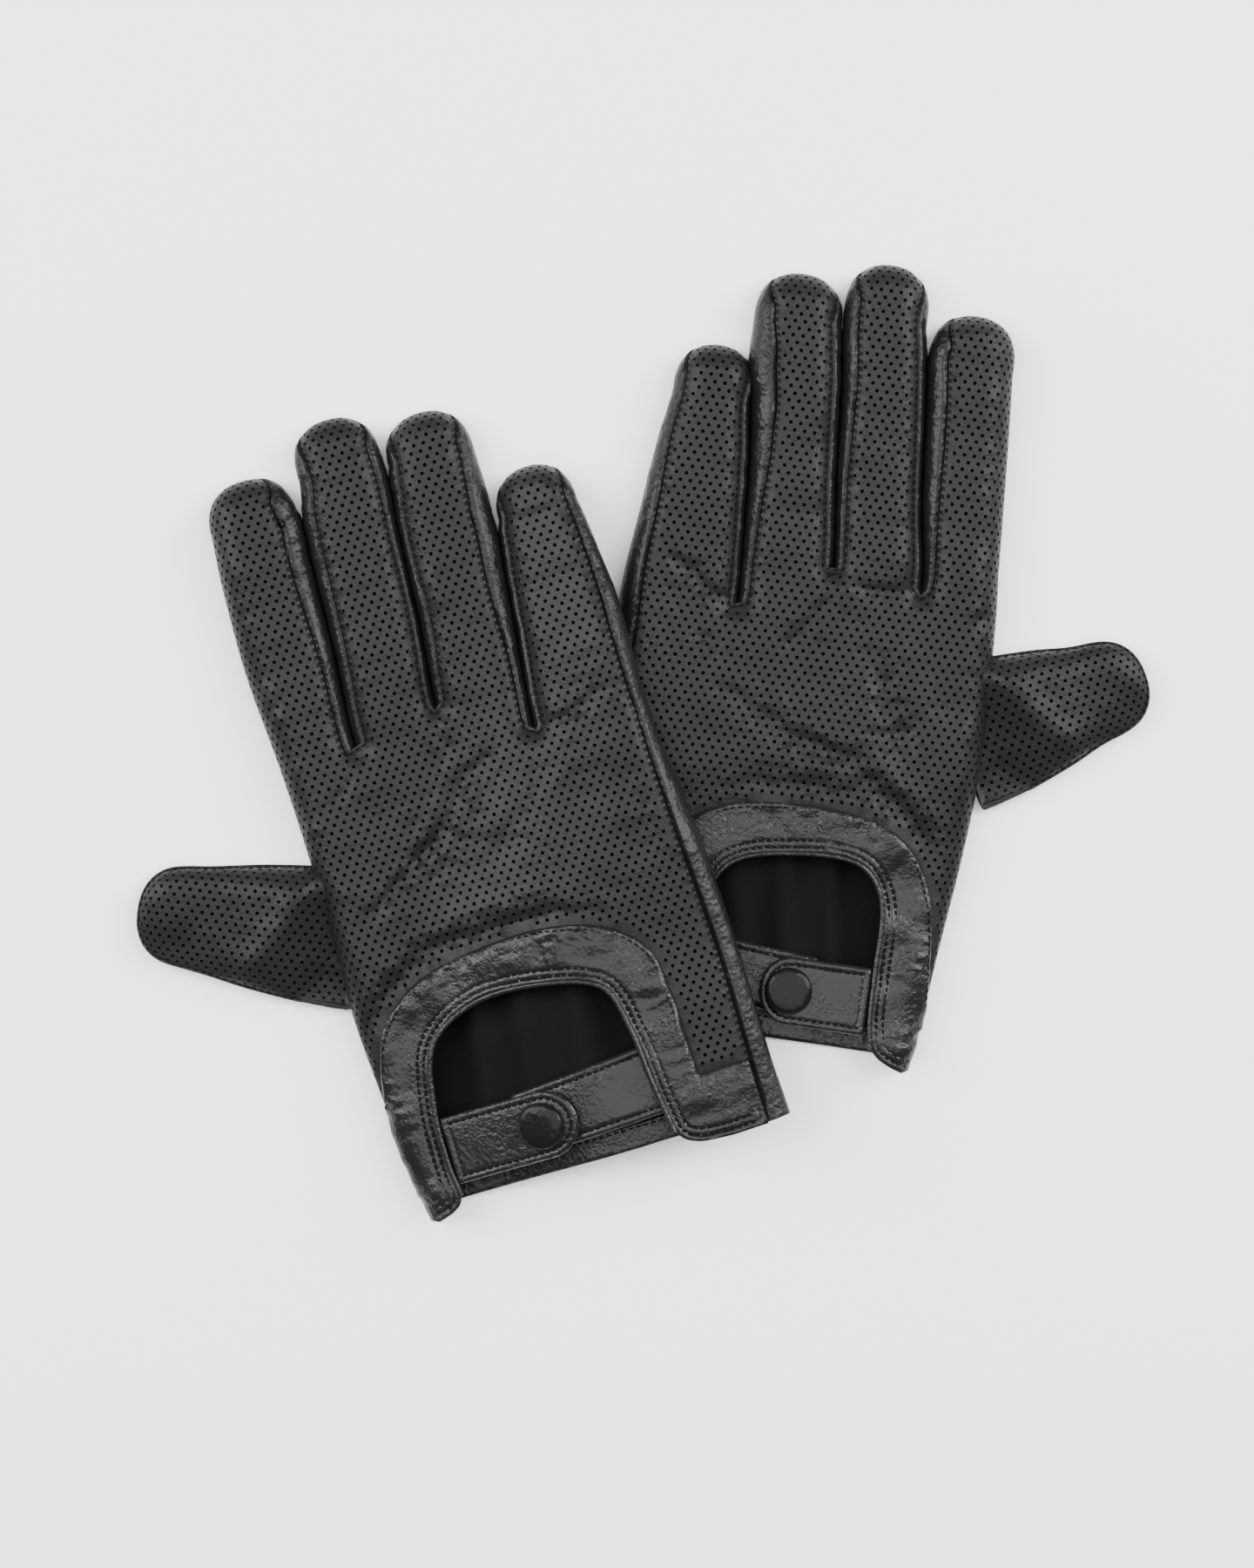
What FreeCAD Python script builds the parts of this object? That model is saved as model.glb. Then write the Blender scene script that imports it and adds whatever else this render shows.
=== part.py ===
"""A pair of perforated leather driving gloves, lying palm down, the right glove partly over the left.

Every glove is drawn in its own flat frame, in millimetres: the wrist edge on Y 0, fingers towards +Y, the thumb
side on -X.  A piece is a vertical prism of its plan outline, cut by the curved sheet of leather it belongs to.
The left glove is the mirror image, with its own finger positions.
"""

import FreeCAD, Part
import math
import os

Vec = FreeCAD.Vector

# ---- driving dimensions (mm) ----
LEATHER = 1.0            # one thickness of glove leather
LINING = 0.5             # lining cloth
GAP = 0.2                # air between pieces that are sewn together
EDGE_RUN = 11.0          # plan width over which the back leather rolls down to a side
EDGE_DROP = 6.4          # how far it drops over that width
EDGE_LIMIT = 0.90        # share of the quarter round that the sheet follows before the side wall takes over
WRIST_HEIGHT = 10.6      # height of the back leather at the cuff
HAND_HEIGHT = 13.0       # over the hand
FINGER_HEIGHT = 13.6     # along the fingers
THUMB_HEIGHT = 11.6
TIP_LENGTH = 14.0        # rounded end of a finger
TIP_POWER = 2.3          # roundness of a finger end, 2 is an ellipse
CUFF_Y = 3.0             # palm edge at the wrist
HEM_WIDTH = 8.0          # folded band along the palm edge
TRIM_CORNER_Y = 19.8     # lower end of the perforated back beside the little-finger strip
OUTSEAM = 6.2            # plan width of the plain strip down the little-finger side
BINDING = 1.7            # width of the rolled edge round the back opening

STRAP = 1.3              # strap thickness, two layers of thin leather
STRAP_WIDTH = 20.4
TAB_BOTTOM = 9.6         # height of the underside of the upper strap
BASE_BOTTOM = 6.4        # height of the underside of the lower strap
SNAP_Y = 18.5
CAP_RADIUS = 7.0
CAP_HEIGHT = 2.2
COVER = 0.5              # leather skin over the metal cap
SOCKET_RADIUS = 5.0
SOCKET_BORE = 2.7
STUD_RADIUS = 2.1
STUD_FLANGE = 4.6
RIVET_RADIUS = 3.8
HINGE_CLEAR = 0.9        # gap between the tab's root and the rolled edge
STRAP_BORE = 1.2         # hole for the snap's post
POST_RADIUS = 1.0
PLAY = 0.25              # air between a snap part and the strap it is riveted to
CAP_POST_TOP = 1.0       # edges of the cap above this are rounded
CAP_ROUND = 0.8
COVER_ROUND = 1.1
METAL = 0.5              # thickness of the rivet's head
FLANGE = 0.2
BASE_START = -7.5        # end of the lower strap, from the snap
BASE_TUCK = 25.0         # X where it ends under the trim
BASE_END = (-8.6, 10.8)  # its two edges at the snap end, from the snap
BASE_ROOT = (-6.6, 14.6)  # and under the trim

BINDING_START = 4.0      # the rolled edge starts this far from the wrist edge
BINDING_RISE = 0.4       # and stands this far above the trim
BACK_LINING_START = 8.0
BACK_LINING_INSET = 5.0
BACK_LINING_CLEAR = 6.0  # between the back lining and the opening
SLEEVE_START = 152.0     # finger linings start here
OUTER_FROM = 20.0        # the little-finger side of the hand lies beyond this X
CROTCH_BASE = 128.0      # hand outline at both sides of the finger crotches
THUMB_HOLE = (12.0, 34.0, 7.2)   # way from the hand into the thumb: depth, length, height
THUMB_HOLE_BOTTOM = 1.6
THUMB_CLEAR = 0.9        # gap between the hand and the thumb's root
THUMB_REACH = 34.0       # length of the root kept clear of the hand

LIFT_HEIGHT = 13.5       # how far the right glove is raised where it lies on the left one
LIFT_START = -48.0       # the rise begins this far before the left glove's edge
LIFT_END = 8.0
THUMB_SWING = 8.0        # degrees each way
GRID = 4.5               # spacing of the control points of a leather sheet
DEEP = 60.0              # taller than anything here
FLOOR = -5.0             # plan prisms start below everything
WIDE = 90.0              # beyond either side of a glove
LONG = 300.0             # beyond the fingertips
BEHIND = -20.0           # behind the wrist edge
SHEET_LOW = (-74.0, -14.0)   # plan of a leather sheet that covers the whole glove
SHEET_HIGH = (70.0, 250.0)
STRAP_SHEET_END = 80.0
SLIVER = 1.0             # volume (mm3) below which a scrap left by a cut is dropped


def hermite(stations, at):
    """Value at `at` of a smooth curve through (position, value) stations."""
    if at <= stations[0][0]:
        return stations[0][1]
    if at >= stations[-1][0]:
        return stations[-1][1]
    last = len(stations) - 1
    i = max(k for k in range(last) if stations[k][0] <= at)

    def slope(k):
        a, b = stations[max(k - 1, 0)], stations[min(k + 1, last)]
        return (b[1] - a[1]) / (b[0] - a[0])

    (p0, v0), (p1, v1) = stations[i], stations[i + 1]
    step = p1 - p0
    t = (at - p0) / step
    return (
        v0 * (2 * t**3 - 3 * t**2 + 1)
        + v1 * (3 * t**2 - 2 * t**3)
        + slope(i) * step * (t**3 - 2 * t**2 + t)
        + slope(i + 1) * step * (t**3 - t**2)
    )


def ease(value, start, end):
    """0 before start, 1 after end, smooth between."""
    t = min(1.0, max(0.0, (value - start) / (end - start)))
    return t * t * (3 - 2 * t)


# ---- the two gloves: where each finger lies, as (y, centre x, half width), and its tip ----
RIGHT = {
    "name": "right",
    "mirror": 1,
    "turn": 17.0,
    "place": (-9.97, -126.78),
    "raised": True,
    "fingers": {
        "index": {"line": [(118, -46.5, 13.2), (141, -48.2, 11.6), (172, -47.8, 13.6), (200, -46.8, 13.7),
                           (214, -45.8, 13.4)], "tip": 228.3, "seams": (0.0, 4.6)},
        "middle": {"line": [(118, -22.5, 12.8), (144, -23.2, 12.4), (172, -20.5, 12.9), (200, -18.8, 13.0),
                            (222, -16.2, 12.8)], "tip": 238.5, "seams": (3.4, 2.6)},
        "ring": {"line": [(112, 3.0, 12.8), (141, 3.6, 12.6), (172, 6.5, 12.9), (200, 9.8, 13.8),
                          (216, 10.8, 12.9)], "tip": 232.4, "seams": (2.6, 4.8)},
        "little": {"line": [(108, 33.5, 17.2), (131, 34.2, 16.6), (160, 36.9, 14.9), (180, 37.1, 13.2),
                            (193, 36.8, 12.0)], "tip": 207.5, "seams": (2.4, 4.2)},
    },
    "crotch_line": [(-62, 150), (-37.4, 141.5), (-10.2, 146.0), (16.6, 131.5), (54, 128)],
    "knuckles": ((-60.0, 137.5), (52.0, 123.0)),
    "thumb_side": [(-2, -55.4), (14, -57.6), (40, -59.4), (65, -60.6), (90, -59.6), (125, -59.4), (152, -60.2)],
    "outer_side": [(-2, 56.2), (20, 55.4), (60, 55.5), (90, 54.2), (117, 51.5), (135, 51.0), (152, 51.0)],
    "arch": [(-62.0, 41.0), (-58.4, 47.5), (-54.2, 58.0), (-39.3, 69.4), (-18.0, 74.0), (4.0, 74.2),
             (20.6, 69.0), (30.4, 58.8), (32.7, 44.0), (33.2, 30.0), (33.5, TRIM_CORNER_Y)],
    "window": [(-45.4, 10.0), (-45.0, 32.0), (-39.2, 50.7), (-22.4, 59.2), (0.0, 58.2), (14.1, 52.3),
               (18.2, 38.0), (19.7, 22.0), (21.4, 8.0)],
    "snap_x": -14.8,
    "tab_end": 10.2,
    "thumb": {"root": (-60.2, 90.0), "tip": (-112.6, 114.4),
              "half": [(-26, 20.5), (0, 20.5), (20, 18.6), (38, 15.6), (46, 14.6)]},
}
LEFT = {
    "name": "left",
    "mirror": -1,
    "turn": -8.3,
    "place": (28.33, -90.68),
    "raised": False,
    "fingers": {
        "index": {"line": [(118, -45.0, 13.6), (145, -46.4, 10.9), (164, -44.0, 12.1), (191, -41.5, 12.7),
                           (210, -39.7, 12.9)], "tip": 226.3, "seams": (0.0, 4.6)},
        "middle": {"line": [(118, -22.0, 12.8), (146, -21.0, 12.4), (172, -17.7, 12.5), (200, -15.1, 12.3),
                            (221, -12.2, 12.4)], "tip": 237.8, "seams": (2.0, 3.0)},
        "ring": {"line": [(112, 4.5, 12.6), (143, 5.7, 12.4), (172, 8.4, 12.5), (200, 12.4, 13.8),
                          (215, 13.6, 13.0)], "tip": 231.4, "seams": (2.2, 5.6)},
        "little": {"line": [(108, 37.0, 17.4), (132, 37.6, 16.7), (155, 37.1, 15.0), (176, 36.4, 13.5),
                            (190, 35.5, 12.0)], "tip": 206.7, "seams": (1.6, 5.0)},
    },
    "crotch_line": [(-62, 150), (-36.0, 141.5), (-7.6, 144.5), (19.8, 130.2), (56, 128)],
    "knuckles": ((-60.0, 137.5), (55.0, 123.0)),
    "thumb_side": [(-2, -51.0), (14, -53.2), (40, -55.8), (65, -58.4), (90, -59.9), (125, -58.9), (152, -57.2)],
    "outer_side": [(-2, 55.2), (20, 55.2), (60, 55.5), (90, 55.2), (117, 54.8), (135, 54.0), (152, 53.0)],
    "arch": [(-56.5, 22.0), (-53.6, 33.0), (-49.8, 52.8), (-41.5, 66.6), (-25.4, 73.0), (-3.2, 73.8),
             (15.6, 70.2), (27.0, 62.0), (32.2, 48.0), (33.2, 32.0), (33.5, TRIM_CORNER_Y)],
    "window": [(-37.4, 10.0), (-37.2, 26.0), (-36.0, 49.0), (-27.4, 59.0), (-5.3, 58.9), (10.0, 54.0),
               (17.0, 42.0), (19.4, 24.0), (21.0, 8.0)],
    "snap_x": -12.4,
    "tab_end": 8.7,
    "thumb": {"root": (-60.2, 103.8), "tip": (-104.6, 127.2),
              "half": [(-26, 21.3), (0, 21.3), (20, 18.0), (32, 14.9), (40, 14.0)]},
}


# ---- heights ----
def finger_at(finger, y):
    """(centre x, half width) of a finger at y; the half width runs to nothing at the tip."""
    line, tip = finger["line"], finger["tip"]
    centre = hermite([(p[0], p[1]) for p in line], y)
    half = hermite([(p[0], p[2]) for p in line], y)
    over = (y - (tip - TIP_LENGTH)) / TIP_LENGTH
    if over > 0:
        half *= max(0.0, 1 - min(over, 1.0) ** TIP_POWER) ** (1 / TIP_POWER)
    return centre, half


def depth(glove, x, y):
    """Distance in from the outline of the hand and fingers, roughly."""
    hand = min(
        x - hermite(glove["thumb_side"], y),
        hermite(glove["outer_side"], y) - x,
        hermite(glove["crotch_line"], x) - y,
    )
    inside = [hand]
    for finger in glove["fingers"].values():
        centre, half = finger_at(finger, y)
        inside.append(half - abs(x - centre))
    return max(inside)


def rolled(height, inside):
    """Height of leather that rolls down towards an edge `inside` millimetres away."""
    share = min(EDGE_LIMIT, max(0.0, (EDGE_RUN - inside) / EDGE_RUN))
    return height - EDGE_DROP * (1 - math.sqrt(1 - share * share))


def lift(glove, x, y):
    """How far the glove is raised off the table at a point, by the glove under it."""
    if not glove["raised"]:
        return 0.0
    edge_x = -3.0 + 0.487 * (y - 47.0) if y > 47.0 else -3.0 + 0.12 * (47.0 - y)
    beside = (x - edge_x) * math.cos(math.atan(0.487))
    droop = 1 - 0.18 * (1 - ease(y, -5, 40)) * ease(x, 20, 56)
    return LIFT_HEIGHT * ease(beside, LIFT_START, LIFT_END) * droop


def palm_height(glove, x, y):
    return lift(glove, x, y)


def back_height(glove, x, y):
    height = WRIST_HEIGHT + (HAND_HEIGHT - WRIST_HEIGHT) * ease(y, 50, 90)
    height += (FINGER_HEIGHT - HAND_HEIGHT) * ease(y, 120, 160)
    return lift(glove, x, y) + rolled(height, depth(glove, x, y))


def thumb_frame(glove):
    """Thumb root, unit vector along it, unit vector across it, length."""
    (rx, ry), (tx, ty) = glove["thumb"]["root"], glove["thumb"]["tip"]
    length = math.hypot(tx - rx, ty - ry)
    along = ((tx - rx) / length, (ty - ry) / length)
    return (rx, ry), along, (-along[1], along[0]), length


def thumb_half(glove, s):
    length = thumb_frame(glove)[3]
    half = hermite(glove["thumb"]["half"], s)
    over = (s - (length - TIP_LENGTH)) / TIP_LENGTH
    if over > 0:
        half *= max(0.0, 1 - min(over, 1.0) ** TIP_POWER) ** (1 / TIP_POWER)
    return half


def thumb_height(glove, x, y):
    (rx, ry), along, across, _ = thumb_frame(glove)
    s = (x - rx) * along[0] + (y - ry) * along[1]
    v = (x - rx) * across[0] + (y - ry) * across[1]
    return rolled(THUMB_HEIGHT, thumb_half(glove, s) - abs(v))


# ---- shapes ----
def flat_point(glove, x, y, z=0.0):
    return Vec(glove["mirror"] * x, y, z)


def prism(wire):
    """The space over a closed outline."""
    face = Part.Face(wire)
    face.translate(Vec(0, 0, FLOOR))
    return face.extrude(Vec(0, 0, DEEP))


def polygon(glove, points):
    """Prism of a straight-sided outline."""
    vertices = [flat_point(glove, *p) for p in points]
    return prism(Part.makePolygon(vertices + [vertices[0]]))


def crosswise(glove, low, high):
    """Everything between two lines across the glove."""
    return polygon(glove, [(-WIDE, low), (WIDE, low), (WIDE, high), (-WIDE, high)])


def curve(glove, points):
    spline = Part.BSplineCurve()
    spline.interpolate([flat_point(glove, *p) for p in points])
    return spline.toShape()


def line(glove, start, end):
    return Part.LineSegment(flat_point(glove, *start), flat_point(glove, *end)).toShape()


def finger_prism(glove, name, near=0.0, far=0.0, tip=0.0):
    """Prism of a finger, drawn in by `near` on the thumb side, `far` on the other and `tip` at the end."""
    finger = glove["fingers"][name]
    body = [p[0] for p in finger["line"] if p[0] < finger["tip"] - TIP_LENGTH - 1]
    body.append(finger["tip"] - TIP_LENGTH)
    ends = [finger["tip"] - tip - TIP_LENGTH * (1 - k) for k in (0.35, 0.62, 0.82, 0.94)]
    thumb_side, far_side = [], []
    for y in body:
        centre, half = finger_at(finger, y)
        thumb_side.append((centre - half + near, y))
        far_side.append((centre + half - far, y))
    for y in ends:
        centre, half = finger_at(finger, y + tip)
        thumb_side.append((centre - half + near * (1 - ease(y, ends[0], ends[-1])) + tip * 0.5, y))
        far_side.append((centre + half - far * (1 - ease(y, ends[0], ends[-1])) - tip * 0.5, y))
    crown = (finger_at(finger, finger["tip"])[0], finger["tip"] - tip)
    outline = thumb_side + [crown] + far_side[::-1]
    closing = line(glove, outline[-1], outline[0])
    return prism(Part.Wire([curve(glove, outline), closing]))


def hand_prism(glove, near=0.0, far=0.0, bottom=0.0):
    """Prism of the hand from the wrist up to the crotches of the fingers."""
    heights = (bottom, 14, 40, 65, 90, 118)
    thumb_side = [(hermite(glove["thumb_side"], y) + near, y) for y in heights]
    outer_side = [(hermite(glove["outer_side"], y) - far, y) for y in heights]
    top = [(outer_side[-1][0], CROTCH_BASE)]
    top += [(x, y - 2 * GAP) for x, y in glove["crotch_line"][-2:0:-1]]
    top += [(thumb_side[-1][0], CROTCH_BASE)]
    edges = [curve(glove, thumb_side), curve(glove, outer_side)]
    loop = [outer_side[-1]] + top + [thumb_side[-1]]
    edges += [line(glove, a, b) for a, b in zip(loop, loop[1:])]
    edges.append(line(glove, thumb_side[0], outer_side[0]))
    return prism(Part.Wire(Part.__sortEdges__(edges)))


def joined(solids):
    whole = solids[0].multiFuse(solids[1:])
    return whole.removeSplitter()


def silhouette(glove, inset=0.0, bottom=0.0):
    """Prism of the hand and four fingers, drawn in all round."""
    solids = [hand_prism(glove, inset, inset, bottom)]
    solids += [finger_prism(glove, name, inset, inset, inset) for name in glove["fingers"]]
    return joined(solids)


def back_outline(glove, grow=0.0):
    """Prism of the perforated back: the silhouette less the fourchettes and the little-finger strip.

    Grown, it stands clear of the silhouette where there is no strip, so that the strips end in clean points."""
    clear = -3 * grow
    solids = [hand_prism(glove, clear, OUTSEAM - grow)]
    for name, finger in glove["fingers"].items():
        near, far = finger["seams"]
        near = near - grow if near else clear
        solids.append(finger_prism(glove, name, near, far - grow, clear))
    return joined(solids)


def sheet_face(glove, height, low, high):
    """Curved face z = height(x, y) over a rectangle of the glove's plan."""
    def greville(count):
        knots = [0] * 4 + list(range(1, count - 3)) + [count - 3] * 4
        return [(knots[i + 1] + knots[i + 2] + knots[i + 3]) / 3.0 / (count - 3) for i in range(count)]

    counts = [max(6, int((b - a) / GRID)) for a, b in zip(low, high)]
    columns, rows = (greville(n) for n in counts)
    poles = []
    for u in columns:
        x = low[0] + (high[0] - low[0]) * u
        poles.append([flat_point(glove, x, low[1] + (high[1] - low[1]) * v,
                                 height(glove, x, low[1] + (high[1] - low[1]) * v)) for v in rows])
    knots = [[float(k) for k in range(n - 2)] for n in counts]
    mults = [[4] + [1] * (n - 4) + [4] for n in counts]
    surface = Part.BSplineSurface()
    surface.buildFromPolesMultsKnots(poles, mults[0], mults[1], knots[0], knots[1], False, False, 3, 3)
    return surface.toShape()


def slab(face, bottom, top):
    """The space from `bottom` to `top` above a curved face."""
    moved = face.copy()
    moved.translate(Vec(0, 0, bottom))
    return moved.extrude(Vec(0, 0, top - bottom))


def layer(bottom, top):
    """The space between two heights."""
    return Part.makeBox(2 * LONG, 2 * LONG, top - bottom, Vec(-LONG, -LONG, bottom))


def clean(shape):
    """The solids of a shape with their split faces joined again, leaving out slivers."""
    solids = [s.removeSplitter() for s in shape.Solids if s.Volume > SLIVER]
    return solids[0] if len(solids) == 1 else Part.makeCompound(solids)


def cut(shape, *tools):
    for tool in tools:
        shape = shape.cut(tool)
    return shape


def common(shape, *tools):
    for tool in tools:
        shape = shape.common(tool)
    return shape


def window_prism(glove, grow=0.0):
    """Prism of the opening in the back, open towards the wrist."""
    points = glove["window"]
    grown = []
    for i, (x, y) in enumerate(points):
        ax, ay = points[max(i - 1, 0)]
        bx, by = points[min(i + 1, len(points) - 1)]
        length = math.hypot(bx - ax, by - ay)
        grown.append((x - grow * (by - ay) / length, y + grow * (bx - ax) / length))
    start, end = grown[0], grown[-1]
    flare_start, flare_end = (start[0] - 1.0, BEHIND), (end[0] + 1.5, BEHIND)
    edges = [curve(glove, grown), line(glove, end, flare_end), line(glove, flare_end, flare_start),
             line(glove, flare_start, start)]
    return prism(Part.Wire(edges))


def trim_prism(glove, shrink=0.0):
    """Prism of everything below the arch seam, out to the little-finger strip."""
    points = [(x, y - shrink) for x, y in glove["arch"]]
    corner = points[-1]
    seam_x = hermite(glove["outer_side"], corner[1]) - OUTSEAM - shrink
    loop = [corner, (seam_x, corner[1]), (hermite(glove["outer_side"], 0) - OUTSEAM - shrink, BEHIND),
            (-WIDE, BEHIND), (-WIDE, points[0][1]), points[0]]
    edges = [curve(glove, points)] + [line(glove, a, b) for a, b in zip(loop, loop[1:])]
    return prism(Part.Wire(edges))


def knuckle_prism(glove, offset):
    """Everything beyond the knuckle line, moved towards the fingers by `offset`."""
    (ax, ay), (bx, by) = glove["knuckles"]
    slope = (by - ay) / (bx - ax)
    return polygon(glove, [(-WIDE, ay + slope * (-WIDE - ax) + offset), (WIDE, ay + slope * (WIDE - ax) + offset),
                           (WIDE, LONG), (-WIDE, LONG)])


def between_prism(glove, first, second):
    """Everything between the centre lines of two neighbouring fingers; None is the outside."""
    heights = (100, 130, 150, 172, 200, 215, 245)

    def line_of(name, fallback):
        if name is None:
            return [(fallback, y) for y in heights]
        return [(finger_at(glove["fingers"][name], y)[0], y) for y in heights]

    return polygon(glove, line_of(first, -WIDE) + line_of(second, WIDE)[::-1])


def thumb_prism(glove, inset):
    (rx, ry), along, across, length = thumb_frame(glove)
    stations = [-24, -10, 6, 20, 32, length - TIP_LENGTH]
    ends = [length - inset - TIP_LENGTH * (1 - k) for k in (0.35, 0.62, 0.82, 0.94)]
    sides = [(s, thumb_half(glove, s) - inset) for s in stations]
    sides += [(s, thumb_half(glove, s + inset) - inset * 0.5) for s in ends]

    def place(s, v):
        return rx + along[0] * s + across[0] * v, ry + along[1] * s + across[1] * v

    outline = [place(s, v) for s, v in sides] + [place(length - inset, 0.0)]
    outline += [place(s, -v) for s, v in reversed(sides)]
    return prism(Part.Wire([curve(glove, outline), line(glove, outline[-1], outline[0])]))


def thumb_room(glove, extra=0.0):
    """Plan region the thumb keeps out of, so that it can swing about its root."""
    rx, ry = glove["thumb"]["root"]
    rx -= THUMB_CLEAR + extra
    back = THUMB_REACH * math.tan(math.radians(THUMB_SWING + 2))
    return polygon(glove, [(rx - back, ry + THUMB_REACH), (rx, ry), (rx - back, ry - THUMB_REACH),
                           (rx + DEEP, ry - THUMB_REACH), (rx + DEEP, ry + THUMB_REACH)])


# ---- sub-assemblies ----
def leather_shell(glove, nodes):
    """Palm, back, trim, side strips, fourchettes and linings of one glove."""
    low, high = SHEET_LOW, SHEET_HIGH
    palm_face = sheet_face(glove, palm_height, low, high)
    back_face = sheet_face(glove, back_height, low, high)
    palm_sheet = slab(palm_face, 0.0, LEATHER) if glove["raised"] else layer(0.0, LEATHER)
    above_palm = slab(palm_face, LEATHER + GAP, DEEP)
    under_back = slab(back_face, -DEEP, -LEATHER)
    inside_back = slab(back_face, -DEEP, 0.0)
    outline = silhouette(glove)
    cavity = silhouette(glove, LEATHER, -8.0)
    hollow = common(cavity, under_back)
    shell = cut(common(outline, above_palm, inside_back), hollow)
    fingers, hand = knuckle_prism(glove, GAP), knuckle_prism(glove, -GAP)
    rx, ry = glove["thumb"]["root"]
    thumb_hole = Part.makeBox(*THUMB_HOLE, Vec(-THUMB_HOLE[0] / 2, -THUMB_HOLE[1] / 2, THUMB_HOLE_BOTTOM))
    thumb_hole.translate(flat_point(glove, rx, ry))
    shell = cut(shell, thumb_hole)

    panel, strips = back_outline(glove), back_outline(glove, GAP)
    arch, arch_inside = trim_prism(glove), trim_prism(glove, GAP)
    opening = window_prism(glove)
    bound = window_prism(glove, BINDING)
    back = common(shell, panel)
    rim = cut(shell, strips)
    hand_rim = cut(rim, hand)

    palm = common(palm_sheet, outline)
    palm = cut(palm, crosswise(glove, BEHIND, CUFF_Y))
    nodes["palm_panel"] = cut(palm, hand)
    nodes["finger_palms"] = common(palm, fingers)
    nodes["back_panel"] = cut(back, hand, arch)
    nodes["finger_backs"] = common(back, fingers)
    outer_part = polygon(glove, [(OUTER_FROM, BEHIND), (WIDE, BEHIND), (WIDE, LONG), (OUTER_FROM, LONG)])
    nodes["outseam_strip"] = common(hand_rim, outer_part)
    nodes["opening_trim"] = cut(common(back, arch_inside), bound)

    rolled_edge = cut(common(slab(back_face, -LEATHER - LINING, BINDING_RISE), bound, outline), opening)
    nodes["opening_binding"] = cut(rolled_edge, crosswise(glove, BEHIND, BINDING_START))

    finger_rim = common(rim, fingers)
    nodes["fourchette_index_middle"] = common(finger_rim, between_prism(glove, "index", "middle"))
    nodes["fourchette_middle_ring"] = common(finger_rim, between_prism(glove, "middle", "ring"))
    nodes["fourchette_ring_little"] = common(finger_rim, between_prism(glove, "ring", "little"))
    nodes["little_side_strip"] = common(finger_rim, between_prism(glove, "little", None))

    hem = common(slab(palm_face, LEATHER + GAP, 2 * LEATHER),
                 hand_prism(glove, 2 * LEATHER, 2 * LEATHER, CUFF_Y + LINING))
    hem_end = CUFF_Y + HEM_WIDTH
    nodes["cuff_hem"] = cut(hem, crosswise(glove, hem_end, LONG))
    lining_outline = silhouette(glove, LEATHER + GAP)
    palm_cloth = common(slab(palm_face, LEATHER + GAP, LEATHER + GAP + LINING), lining_outline)
    nodes["palm_lining"] = common(cut(palm_cloth, hand), crosswise(glove, hem_end + GAP, LONG))
    back_cloth = common(slab(back_face, -LEATHER - GAP - LINING, -LEATHER - GAP),
                        silhouette(glove, BACK_LINING_INSET))
    nodes["back_lining"] = cut(back_cloth, hand, window_prism(glove, BACK_LINING_CLEAR),
                               crosswise(glove, BEHIND, BACK_LINING_START))

    sleeves = []
    sleeve_space = common(slab(palm_face, LEATHER + GAP, DEEP), slab(back_face, -DEEP, -LEATHER - GAP))
    sleeve_hollow = common(slab(palm_face, LEATHER + GAP + LINING, DEEP),
                           slab(back_face, -DEEP, -LEATHER - GAP - LINING))
    for name in glove["fingers"]:
        outside = finger_prism(glove, name, LEATHER + GAP, LEATHER + GAP, LEATHER + GAP)
        wall = LEATHER + GAP + LINING
        inside = finger_prism(glove, name, wall, wall, wall)
        sleeve = cut(common(outside, sleeve_space), common(inside, sleeve_hollow))
        sleeves.append(common(sleeve, crosswise(glove, SLEEVE_START, LONG)))
    nodes["finger_linings"] = Part.makeCompound([clean(s) for s in sleeves])


def thumb_shell(glove, nodes):
    """Thumb: perforated back with its sides, the palm side and its lining sleeve."""
    (rx, ry), _, _, length = thumb_frame(glove)
    low, high = (rx - length - 30, ry - 60), (rx + 40, ry + 75)
    top_face = sheet_face(glove, thumb_height, low, high)
    outline = thumb_prism(glove, 0.0)
    hollow = common(thumb_prism(glove, LEATHER), slab(top_face, -DEEP, -LEATHER))
    room = thumb_room(glove)
    upper, lower = layer(LEATHER + GAP, DEEP), layer(0, LEATHER)
    nodes["thumb_back"] = cut(common(outline, upper, slab(top_face, -DEEP, 0.0)), hollow, room)
    nodes["thumb_palm"] = cut(common(outline, lower), room)
    inner = LEATHER + GAP
    sleeve = common(thumb_prism(glove, inner), slab(top_face, -DEEP, -inner), layer(inner, DEEP))
    wall = inner + LINING
    space = common(thumb_prism(glove, wall), slab(top_face, -DEEP, -wall), layer(wall, DEEP))
    nodes["thumb_lining"] = cut(sleeve, space, thumb_room(glove, 2 * LEATHER))


def strap_slope(glove, x):
    """Rise of the table-side surface per millimetre of x at the snap."""
    return (lift(glove, x + 1, SNAP_Y) - lift(glove, x - 1, SNAP_Y)) / 2


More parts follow.
